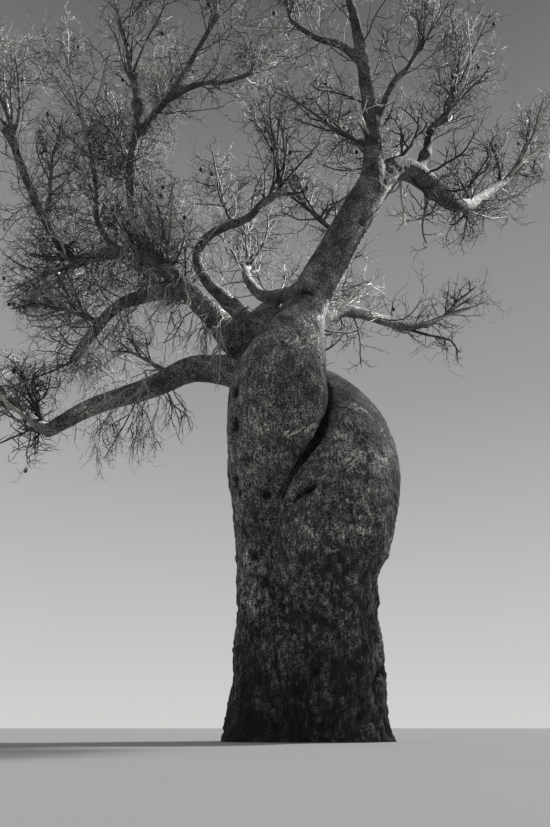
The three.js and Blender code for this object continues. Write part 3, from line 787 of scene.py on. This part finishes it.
# The twigs. Leafless, brittle and crooked, they branch from a stem that runs on from its bough:
# four orders of them, each turning round its parent, in masses that keep to their own room.
MASSES = {
    "twigs_low_left": ("low_left_bough", 1, (-9.1, 3.4, 9.3), 1.7),
    "twigs_over_low_left": ("low_left_bough", 0.5, (-4.5, 0.6, 9.4), 0.9),
    "twigs_weeping": ("low_left_bough", 0.62, (-4.3, 0.35, 5.75), 1.1),
    "twigs_weeping_outer": ("arch_bough", 1, (-6.85, 0.2, 7.3), 1.1),
    "twigs_arch": ("arch_bough", 0.7, (-7.5, 0.7, 10.5), 1.2),
    "twigs_far_left_side": ("far_left_bough", 0.82, (-8.4, 2.9, 12.5), 1.5),
    "twigs_far_left": ("far_left_riser", 1, (-8.6, -2.3, 17.9), 1.7),
    "twigs_left_riser": ("left_riser", 1, (-6.3, -2.3, 17.8), 1.5),
    "twigs_left_tangle": ("far_left_bough", 0.5, (-4.6, 1.7, 13.9), 1.4),
    "twigs_inner_tangle": ("far_left_bough", 0.18, (-3.5, -1.9, 12.5), 1.05),
    "twigs_upper_left": ("upper_left_bough", 1, (-4.5, -3.5, 18.9), 1.5),
    "twigs_upper_left_side": ("upper_left_bough", 0.55, (-5.6, 0.4, 16.9), 1.6),
    "twigs_inner_riser": ("inner_riser", 1, (-1.9, -3.7, 19.5), 1.4),
    "twigs_inner_side": ("inner_riser", 0.35, (-3.3, -0.6, 17.9), 1.3),
    "twigs_reaching": ("reaching_bough", 1, (-0.6, -0.5, 18.7), 1.5),
    "twigs_curved": ("curved_bough", 1, (-0.1, -1.5, 15.7), 1.4),
    "twigs_curved_side": ("curved_bough", 0.6, (-2.35, 0.9, 15.5), 1.5),
    "twigs_back_left": ("back_left_bough", 1, (-1.3, 3.9, 17), 2),
    "twigs_low_right": ("low_right_bough", 1, (6.3, 4.3, 12.9), 1.9),
    "twigs_upright": ("upright_bough", 1, (1.3, -4.7, 19.7), 1.5),
    "twigs_top_left": ("top_left_bough", 1, (-0.2, -1.9, 19.8), 1.2),
    "twigs_top_right": ("top_right_bough", 1, (3.9, -3.4, 19.5), 1.5),
    "twigs_right_riser": ("right_riser", 1, (5.4, -1.5, 18.7), 1.6),
    "twigs_far_right": ("far_right_bough", 1, (8.5, 0.7, 17.3), 1.7),
    "twigs_right_side": ("far_right_bough", 0.6, (6.4, 3.5, 16.6), 1.7),
    "twigs_right_back": ("right_back_bough", 1, (2.3, 1.2, 18.7), 1.8),
    "twigs_back_right": ("back_right_bough", 1, (2.2, 6.6, 17), 2),
    "twigs_left_back": ("left_back_bough", 1, (-5.7, 5.1, 16), 2),
    "twigs_far_left_inner": ("far_left_riser", 0.45, (-6, -1.2, 15.3), 1.1),
    "twigs_leaning": ("leaning_bough", 0.6, (-0.2, 0.6, 14.6), 1.3),
    "twigs_low_right_side": ("low_right_bough", 0.4, (1.9, 2, 13.6), 1.2),
    "twigs_upright_side": ("upright_bough", 0.3, (-0.3, -0.9, 17.2), 1.3),
}

# Masses that hang, thin ones, tangled ones, and those whose solids bear a fruit.
WEEPING = ("twigs_weeping", "twigs_weeping_outer")
SPARSE = (*WEEPING, "twigs_over_low_left", "twigs_low_right", "twigs_low_right_side")
DENSE = (
    "twigs_arch", "twigs_far_left_side", "twigs_left_tangle", "twigs_inner_tangle",
    "twigs_upper_left_side", "twigs_inner_side",
)
FRUITS_EACH = 3
FRUITING = (
    "twigs_far_left", "twigs_left_riser", "twigs_inner_tangle", "twigs_upper_left",
    "twigs_inner_riser", "twigs_reaching", "twigs_curved", "twigs_curved_side", "twigs_upright",
    "twigs_top_right", "twigs_right_riser", "twigs_far_right",
)
FRUIT_SHARE = 0.7  # of the twig that bears the solids' fruit
LIFT, WOBBLE = 0.1, 0.25  # how a twig rises and how it turns at each step

# An order of twigs: how many there are to a parent, the shares of its length between which they
# start, their length as a share of its own, the angle in degrees at which they leave, their
# radius as a share of its own and the least it may be, their steps and their wobble.
Order = namedtuple(
    "Order", "count start until reach leave radius least steps wobble", defaults=[WOBBLE])
FIRST_ORDERS = [  # the twigs that the solids have too, in the same places
    Order(5, 0.12, 0.97, 1.1, 52, 0.6, 0.026, 2),
    Order(2, 0.3, 0.97, 0.55, 48, 0.6, 0.017, 1),
]
FINE_ORDERS = [  # more of those two, and two finer orders on all of them
    Order(12, 0.04, 0.94, 1.4, 38, 0.5, 0.017, 7, 0.45),
    Order(7, 0.1, 0.98, 0.42, 58, 0.5, 0.0105, 4, 1.0),
    Order(5, 0.1, 1.0, 0.55, 58, 0.65, 0.008, 3, 1.8),
    Order(1, 0.2, 1.0, 0.7, 50, 0.8, 0.007, 3, 1.8),
]
SHORTEST = (0.5, 0.22, 0.14, 0.08)  # of each order
STEM_STEPS = 4
SIDE_STEM = {"share": 0.6, "largest": 0.09}  # radius of a stem that leaves its bough's side
TAPER, FINE_TAPER = 0.4, 0.6  # a twig's radius at its tip, as a share of its foot's
SPACING, ANGLES, REACHES = 0.6, (0.75, 1.2), (0.8, 1.2)  # how the dice vary a twig
VARIES, TURN_ON, TURN_MORE = (0.7, 1.25), 2, 1.5  # how chance varies a fine twig

# The stems of the masses as they show, more slender than the solids' and drawn to a point.
STEM_FOOT, STEM_TAPER, TAPER_CURVE = 0.98, 0.16, 0.8
STEM_PLACES = 21
INSIDE = (0.86, 0.93)  # shares of the bough that a stem passes through inside it
SIDE_COLLAR = (1.5, 1.25, 1.08)  # how the foot of a stem on a bough's side swells
SWAY, STEM_SWAY = 0.03, 0.014
SLIM, SLIM_WEEPING = 0.85, 0.35  # the first twigs' radius, as a share of the solids'
FULL_DENSE, FULL_SPARSE, SPARSE_SECONDS = 2, 0.4, 4  # first twigs as shares, second ones as a count
SIDES = (10, 5, 4, 3, 3)  # of a stem, and of each order on it
FOOT_MOST, FINE_FOOT_MOST, FOOT_LEAST = 0.75, 0.9, 0.004  # radius of a twig's foot, on its parent
SKIN = 0.8  # how far out towards its parent's skin a fine twig starts
TWIG_CLEARANCE, FINE_CLEARANCE, MASS_GAP = 0.06, 0.02, 0.08  # from the limbs and each other
CROWN_MARGIN = 0.18  # past the solids' box
UP = np.array([0, 0, 1.0])
ASKEW = np.array([0.31, 0.87, 0.38])  # a way that no twig goes
GOLDEN = math.radians(137.5)
FIRST_SEED = 1000
# Tints of the twigs, one to a spray. Besides their own tone, which differs at random, the wide
# spread of pale and dark tints is painted light: it stands in for sunlit and shaded sprays.
TWIG_TINTS = {
    "twig_grey": "#64625f", "twig_pale": "#a6a4a1", "twig_dark": "#2a2928",
    "twig_brown": "#4c4946",
}
TINT_SHARES = [0.3, 0.2, 0.33, 0.17]
TANGLE_SHARES = [0.25, 0.4, 0.22, 0.13]  # in the dense masses, with more pale sprays as painted light
TWIG_GRAIN = 0.015  # size of the fibres in their bark
TINT_COUNT = len(TWIG_TINTS)


def dice(seed):
    """A seeded run of numbers from 0 to 1."""
    while True:
        seed = seed * 16807 % 2147483647
        yield seed / 2147483647


def mix(low, high, share):
    return low + (high - low) * share


def turned(vectors, axes, angles):
    """Vectors turned about unit axes, in radians."""
    c, s = np.cos(angles)[..., None], np.sin(angles)[..., None]
    along = (vectors * axes).sum(-1, keepdims=True)
    return vectors * c + np.cross(axes, vectors) * s + axes * along * (1 - c)


def room_of(on, share, to, spread):
    """The foot of a mass on its bough, and the rounded barrel that the mass keeps inside."""
    foot = on_line(lines[on], share)
    if share < 1:
        foot = foot._replace(radius=min(SIDE_STEM["largest"], foot.radius * SIDE_STEM["share"]))
    way = np.array(to) - foot.at
    return foot, (foot.at + way / 2, unit(way), np.linalg.norm(way) / 2, spread)


def in_room(room, points):
    middle, axis, half, spread = room
    offset = points - middle
    lengthways = offset @ axis
    sideways = np.linalg.norm(offset - lengthways[:, None] * axis, axis=1)
    return (lengthways / half) ** 4 + (sideways / spread) ** 2 < 1


def walk(start, along, length, radius, steps, lift, roll, allows):
    """A twig that turns a little at each step, and ends half a step on where it isn't allowed."""
    at, heading, alongs, radii = [start], along, [along], [radius]
    for i in range(1, steps + 1):
        turn = np.array([roll() - 0.5, roll() - 0.5, roll() - 0.5])
        heading = unit(heading + UP * lift + turn * WOBBLE)
        halfway, whole = (at[-1] + heading * length / steps * part for part in (0.5, 1))
        if not allows(halfway):
            break
        ends = not allows(whole)
        at.append(halfway if ends else whole)
        alongs.append(heading)
        radii.append(radius * mix(1, TAPER, (i - 0.5 if ends else i) / steps))
        if ends:
            break
    return Line(np.array(at), np.array(alongs), np.array(radii))


def length_of(some):
    """The length of a line, or of each row of twigs."""
    return np.linalg.norm(np.diff(some.at, axis=-2), axis=-1).sum(-1)


def first_twigs(stem, spread, lift, roll, allows):
    """The two orders that the solids have, drawn by the same dice in the same order, each twig
    with its parent's place in the order before and the share of the parent where it starts."""
    orders = []
    parents = [stem]
    for number, order in enumerate(FIRST_ORDERS):
        twigs = []
        for owner, parent in enumerate(parents):
            free = spread if number == 0 else length_of(parent)
            for i in range(order.count):
                share = mix(order.start, order.until, (i + roll() * SPACING) / order.count)
                base = on_line(parent, share)
                side = unit(np.cross(base.along, ASKEW))
                side = turned(side, base.along, np.array(GOLDEN * (i + len(twigs)) + roll()))
                angle = math.radians(order.leave * mix(*ANGLES, roll()))
                away = turned(base.along, side, np.array(angle))
                length = free * order.reach * mix(*REACHES, roll())
                thick = max(order.least, base.radius * order.radius)
                twig = walk(base.at, away, length, thick, order.steps, lift, roll, allows)
                if len(twig.at) > 1 and length_of(twig) > SHORTEST[0]:
                    twigs.append((twig, owner, share))
        orders.append(twigs)
        parents = [twig for twig, _, _ in twigs]
    return orders


Twigs = namedtuple("Twigs", "at radius tint")  # rows of twigs, each with the same count of places


def spots(twigs, owner, share):
    """Places, directions and radii at shares of the length of some of the twigs."""
    last = twigs.radius.shape[1] - 1
    i = np.minimum((share * last).astype(int), last - 1)
    w = share * last - i
    foot, after = twigs.at[owner, i], twigs.at[owner, i + 1]
    radius = mix(twigs.radius[owner, i], twigs.radius[owner, i + 1], w)
    return foot + (after - foot) * w[:, None], unit(after - foot), radius


def bent(line, places, sway, chance):
    """A walked line as a crooked twig: a smooth curve through its steps that sways to the sides."""
    share = np.linspace(0, 1, places)
    crooked = chance.normal(size=(4, 3)) * sway * length_of(line)
    waves = [np.sin(math.pi * share * n) / n for n in (1, 2, 3, 5)]
    at = through(line.at, share) + np.array(waves).T @ crooked
    return at, through(line.radius[:, None], share)[:, 0]


def shown(order, parents, places, chance):
    """The solids' own twigs of one order, bent, and rooted on their bent parents."""
    twigs, owner, share = zip(*order)
    feet, _, thick = spots(parents, np.array(owner), np.array(share))
    rows = [bent(twig._replace(at=np.vstack([foot, twig.at[1:]])), places, SWAY, chance)
        for twig, foot in zip(twigs, feet)]
    at, radius = (np.array(part) for part in zip(*rows))
    radius *= np.minimum(1, FOOT_MOST * thick / radius[:, 0])[:, None]
    return at, radius, np.array(owner)


def joined_rows(one, other):
    return Twigs(*(np.concatenate(parts) for parts in zip(one, other)))


def sprouted(parents, order, reach, lift, allowed, shortest, chance):
    """The next order of twigs on all the parents at once, by the same rule."""
    owner = np.repeat(np.arange(len(parents.at)), order.count)
    number = np.tile(np.arange(order.count), len(parents.at))
    rolls = chance.random((4, len(owner)))
    share = mix(order.start, order.until, (number + rolls[0]) / order.count)
    start, along, thick = spots(parents, owner, share)
    angle = GOLDEN * number + owner * TURN_ON + rolls[1] * TURN_MORE
    side = turned(unit(np.cross(along, ASKEW)), along, angle)
    heading = turned(along, side, np.radians(order.leave * mix(*VARIES, rolls[2])))
    start = start + np.cross(side, along) * (thick * SKIN)[:, None]
    step = (reach[owner] * order.reach * mix(*VARIES, rolls[3]) / order.steps)[:, None]
    path = [start]
    grown = np.zeros(len(owner), int)
    alive = np.ones(len(owner), bool)
    for _ in range(order.steps):
        turn = chance.random((len(owner), 3)) - 0.5
        heading = unit(heading + UP * lift + turn * order.wobble)
        there = path[-1] + heading * step
        alive[alive] = allowed(there[alive])
        grown += alive
        path.append(there)
    keep = grown * step[:, 0] > shortest
    path, grown = np.array(path).transpose(1, 0, 2)[keep], grown[keep]
    share = grown[:, None] * np.linspace(0, 1, order.steps + 1)
    i = np.minimum(share.astype(int), order.steps - 1)
    rows = np.arange(len(path))[:, None]
    at = path[rows, i] + (path[rows, i + 1] - path[rows, i]) * (share - i)[..., None]
    thick = thick[keep]
    most = np.maximum(thick * FINE_FOOT_MOST, FOOT_LEAST)
    foot = np.clip(thick * order.radius, order.least, most)
    tint = parents.tint[owner[keep]]
    return Twigs(at, foot[:, None] * np.linspace(1, FINE_TAPER, order.steps + 1), tint)


def tubes(twigs, sides):
    """Corners, triangles and tints of closed tubes, one to a twig, each drawn to a point."""
    rows, places = twigs.radius.shape
    along = unit(np.gradient(twigs.at, axis=1))
    side = unit(np.cross(along[:, 0], ASKEW))
    rings = []
    for k in range(places - 1):
        side = unit(side - along[:, k] * (side * along[:, k]).sum(1, keepdims=True))
        over = np.cross(along[:, k], side)
        for n in range(sides):
            angle = 2 * math.pi * n / sides
            out = side * math.cos(angle) + over * math.sin(angle)
            rings.append(twigs.at[:, k] + out * twigs.radius[:, k, None])
    corners = np.stack([*rings, twigs.at[:, -1]], axis=1)
    faces = []
    for n in range(sides):
        after = (n + 1) % sides
        for k in range(places - 2):
            a, b = k * sides + n, k * sides + after
            faces += [(a, b, b + sides), (a, b + sides, a + sides)]
        last = (places - 2) * sides
        faces.append((last + n, last + after, last + sides))
    faces += [(0, n + 1, n) for n in range(1, sides - 1)]
    count = corners.shape[1]
    triangles = (np.array(faces)[None] + np.arange(rows)[:, None, None] * count).reshape(-1, 3)
    return corners.reshape(-1, 3), triangles, np.repeat(twigs.tint, len(faces))


def joined_tubes(name, groups):
    """One mesh of several groups of twigs, each with its own number of sides."""
    parts = []
    first = 0
    for twigs, sides in groups:
        if len(twigs.at):
            corners, triangles, tints = tubes(twigs, sides)
            parts.append((corners, triangles + first, tints))
            first += len(corners)
    corners, triangles, tints = (np.concatenate(part) for part in zip(*parts))
    mesh = bpy.data.meshes.new(name)
    mesh.vertices.add(len(corners))
    mesh.vertices.foreach_set("co", corners.astype(np.float32).ravel())
    mesh.loops.add(triangles.size)
    mesh.loops.foreach_set("vertex_index", triangles.astype(np.int32).ravel())
    mesh.polygons.add(len(triangles))
    mesh.polygons.foreach_set("loop_start", np.arange(0, triangles.size, 3, dtype=np.int32))
    mesh.polygons.foreach_set("material_index", tints.astype(np.int32))
    mesh.polygons.foreach_set("use_smooth", np.ones(len(triangles), bool))
    mesh.update(calc_edges=True)
    return mesh


def twig_bark(name, colour):
    """The thin bark of a season's twig: matt, one colour to a spray, with a faint grain."""
    material, tree, shader = new_material(name, 0.75)
    shader.inputs["Base Color"].default_value = linear(colour)
    fibres = grain(tree, add(tree, "TexCoord").outputs["Object"], TWIG_GRAIN)
    bump(tree, shader, (fibres, 0.003, 0.5))
    return material


rooms = [room_of(*mass) for mass in MASSES.values()]
rolls = [dice(FIRST_SEED + m).__next__ for m in range(len(MASSES))]
stem_lines = [
    walk(foot.at, axis, 2 * half, foot.radius, STEM_STEPS, 0, roll, lambda point: True)
    for (foot, (_, axis, half, _)), roll in zip(rooms, rolls)
]
stem_stretches = stretches(stem_lines)
twig_barks = [twig_bark(name, colour) for name, colour in TWIG_TINTS.items()]
crown_low = np.array(solid_low) - CROWN_MARGIN
crown_high = np.array(solid_high) + CROWN_MARGIN
fruit_places = []


def clear(points):
    """Whether each point is inside the crown and clear of every limb."""
    fits = (points > crown_low).all(1) & (points < crown_high).all(1)
    fits[fits] = gaps(points[fits], limb_stretches).min(1) > FINE_CLEARANCE
    return fits


def place_twigs(name, groups, nodes):
    """One piece of joined twigs, in the tree's bark and the tints of the twigs' own."""
    place_piece(name, joined_tubes(name, groups), [stem_bark, *twig_barks], nodes)


for m, (name, (on, share, to, spread)) in enumerate(MASSES.items()):
    foot, room = rooms[m]
    lift = -LIFT if name in WEEPING else LIFT
    chance = np.random.default_rng(FIRST_SEED + m)

    def solid_allows(point):
        if not in_room(room, point[None])[0]:
            return False
        to_stems = gaps(point[None], stem_stretches)[0]
        own = stem_stretches.owner == m
        if to_stems[~own].min() < to_stems[own].min() + MASS_GAP:
            return False
        return gaps(point[None], limb_stretches).min() >= TWIG_CLEARANCE

    def fine_allows(points):
        return in_room(room, points) & clear(points)

    stem = stem_lines[m]
    shares = TANGLE_SHARES if name in DENSE else TINT_SHARES
    first, second = first_twigs(stem, spread, lift, rolls[m], solid_allows)
    if name in FRUITING:
        fruit_places.append(on_line((first + second)[-1][0], FRUIT_SHARE).at)

    # The stem runs on from inside the bough, and the twigs stand on it as it bends.
    if share == 1:
        inside = [on_line(lines[on], part).at for part in INSIDE]
        stem_way = np.vstack([*inside, stem.at])
        tip = len(inside) / (len(stem_way) - 1)
    else:
        stem_way = stem.at
        tip = 0
    at, _ = bent(Line(stem_way, None, np.ones(len(stem_way))), STEM_PLACES, STEM_SWAY, chance)
    beyond = np.clip((np.linspace(0, 1, STEM_PLACES) - tip) / (1 - tip), 0, 1)
    thick = stem.radius[0] * mix(STEM_FOOT, STEM_TAPER, beyond ** TAPER_CURVE)
    if share < 1:
        thick[:len(SIDE_COLLAR)] *= SIDE_COLLAR
    slim = SLIM_WEEPING if name in WEEPING else SLIM
    if name in WEEPING:
        thick *= slim
    stems = Twigs(at[None], thick[None], np.array([0]))
    one, two, three, four = FINE_ORDERS
    at, radius, _ = shown(first, stems, one.steps + 1, chance)
    firsts = Twigs(at, radius * slim, chance.choice(TINT_COUNT, len(at), p=shares) + 1)
    full = FULL_DENSE if name in DENSE else FULL_SPARSE if name in SPARSE else 1
    one = one._replace(count=int(one.count * full))
    two = two._replace(count=SPARSE_SECONDS if name in SPARSE else two.count)
    more = sprouted(stems, one, np.array([spread]), lift, fine_allows, SHORTEST[0], chance)
    more = more._replace(tint=chance.choice(TINT_COUNT, len(more.at), p=shares) + 1)
    firsts = joined_rows(firsts, more)
    seconds = sprouted(firsts, two, length_of(firsts), lift, fine_allows, SHORTEST[1], chance)
    if second:
        at, radius, owner = shown(second, firsts, two.steps + 1, chance)
        seconds = joined_rows(seconds, Twigs(at, radius, firsts.tint[owner]))
    thirds = sprouted(seconds, three, length_of(seconds), lift, clear, SHORTEST[2], chance)
    fourths = sprouted(thirds, four, length_of(thirds), lift, clear, SHORTEST[3], chance)
    place_twigs(name + "_bare", zip((stems, firsts, seconds, thirds, fourths), SIDES), [name])
    for i in chance.choice(len(seconds.at), 1 if name in SPARSE else FRUITS_EACH, replace=False):
        fruit_places.append(seconds.at[i, -2])

# Shoots that stand on the boughs themselves, between the masses. On the low and the arching
# boughs they hang in long pale tresses, over the left ones they tangle, and elsewhere they rise.
RISING = [
    Order(5, 0.1, 1, 0.42, 52, 0.7, 0.0115, 4, 1), Order(4, 0.1, 1, 0.6, 48, 0.8, 0.009, 4, 1.3),
]

# Each kind: how it lifts, how far it reaches, the stretch of each bough that bears it, its orders.
SHOOTS = {
    "shoots_hanging": (-0.4, 1.5,
        {"low_left_bough": (0.5, 0.8), "left_bough": (0.4, 0.9), "arch_bough": (0.4, 0.95),
            "far_left_bough": (0.1, 0.7)},
        [Order(22, 0, 1, 1, 75, 0.07, 0.011, 8, 1.1),
            Order(5, 0.12, 0.9, 0.45, 35, 0.7, 0.009, 5, 0.9),
            Order(3, 0.15, 1, 0.45, 40, 0.8, 0.0075, 4, 1.2)]),
    "shoots_tangled": (0.05, 1.4,
        {"arch_bough": (0.45, 1), "far_left_bough": (0, 1), "far_left_riser": (0, 0.6),
            "left_riser": (0, 1), "upper_left_bough": (0, 0.7)},
        [Order(28, 0, 1, 1, 65, 0.12, 0.014, 6, 0.9), Order(6, 0.1, 1, 0.5, 55, 0.7, 0.011, 4, 1.2),
            Order(4, 0.1, 1, 0.6, 50, 0.8, 0.009, 4, 1.5)]),
    "shoots_rising": (0.14, 1.8,
        {name: (0.3, 1) for name in (
            "upright_bough", "right_bough", "far_right_bough", "right_riser", "right_back_bough",
            "top_left_bough", "top_right_bough", "low_right_bough", "inner_riser",
            "reaching_bough", "curved_bough", "back_left_bough", "back_right_bough",
            "left_back_bough")},
        [Order(10, 0, 1, 1, 50, 0.14, 0.015, 7, 0.5), *RISING]),
    "shoots_upper": (0.16, 1.7,
        {"upper_left_bough": (0.3, 1), "far_left_riser": (0.4, 1), "left_riser": (0.3, 1)},
        [Order(10, 0, 1, 1, 42, 0.14, 0.015, 7, 0.5), *RISING]),
}
SHOOT_PLACES = 33  # along the bough that bears them
SHORTEST_SHOOT = 0.1
SHOOT_TINTS, HANGING_TINTS = [1, 2, 3, 3], [1, 2, 2, 4]  # materials, drawn with equal chances
for m, (name, (lift, reach, bearers, orders)) in enumerate(SHOOTS.items()):
    chance = np.random.default_rng(FIRST_SEED + len(MASSES) + m)
    rows = [[on_line(fine_lines[bough], share) for share in np.linspace(*stretch, SHOOT_PLACES)]
        for bough, stretch in bearers.items()]
    parents = Twigs(np.array([[spot.at for spot in row] for row in rows]),
        np.array([[spot.radius for spot in row] for row in rows]), np.zeros(len(rows), int))
    groups = []
    reaches = np.full(len(rows), reach)
    for order, sides in zip(orders, SIDES[2:]):
        parents = sprouted(parents, order, reaches, lift, clear, SHORTEST_SHOOT, chance)
        if not groups:
            tints = HANGING_TINTS if lift < 0 else SHOOT_TINTS
            parents = parents._replace(tint=chance.choice(tints, len(parents.at)))
        groups.append((parents, sides))
        reaches = length_of(parents)
    place_twigs(name, groups, [mass for mass in MASSES if MASSES[mass][0] in bearers])

# The fruits. Velvety brown eggs as long as a hand hang on thin stalks under the outer twigs.
# They are joined in one piece, and stay on the tree when the leaves have gone.
FRUIT = {
    "radius": 0.06, "length": 0.16, "stalk": 0.17, "stalk_radius": 0.006, "sides": 12, "rings": 8,
    "stalk_sides": 5, "bluntness": 0.12, "smallest": 0.7, "largest": 1.05,
}
FRUIT_TONES = [(0, "#191714"), (1, "#322e28")]
NAP = 0.02  # size of the tufts of its velvet


def velvet():
    """The fruits' skin: short dense hairs that glow at the rim and hide all gloss."""
    material, tree, shader = new_material("fruit_velvet", 0.9)
    nap = grain(tree, add(tree, "TexCoord").outputs["Object"], NAP)
    tree.links.new(graded(tree, nap, FRUIT_TONES), shader.inputs["Base Color"])
    bump(tree, shader, (nap, 0.004, 0.5))
    shader.inputs["Sheen Weight"].default_value = 0.3
    return material


fruits = bmesh.new()
chance = np.random.default_rng(FIRST_SEED - 1)
sizes = chance.uniform(FRUIT["smallest"], FRUIT["largest"], len(fruit_places))
for at, size in zip(fruit_places, sizes):
    long, wide = FRUIT["length"] * size, FRUIT["radius"] * size
    middle = Vector(at - UP * (FRUIT["stalk"] + long / 2))
    egg = bmesh.ops.create_uvsphere(
        fruits, u_segments=FRUIT["sides"], v_segments=FRUIT["rings"], radius=1)
    for v in egg["verts"]:
        broad = wide * (1 - FRUIT["bluntness"] * v.co.z)
        v.co = Vector((v.co.x * broad, v.co.y * broad, v.co.z * long / 2)) + middle
    reach = FRUIT["stalk"] + long / 4
    bmesh.ops.create_cone(
        fruits, cap_ends=True, segments=FRUIT["stalk_sides"], radius1=FRUIT["stalk_radius"],
        radius2=FRUIT["stalk_radius"], depth=reach, matrix=Matrix.Translation(at - UP * reach / 2))
for face in fruits.faces:
    face.smooth = True
place_piece("fruits", as_mesh(fruits, "fruits"), [velvet()], FRUITING)

low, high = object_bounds()
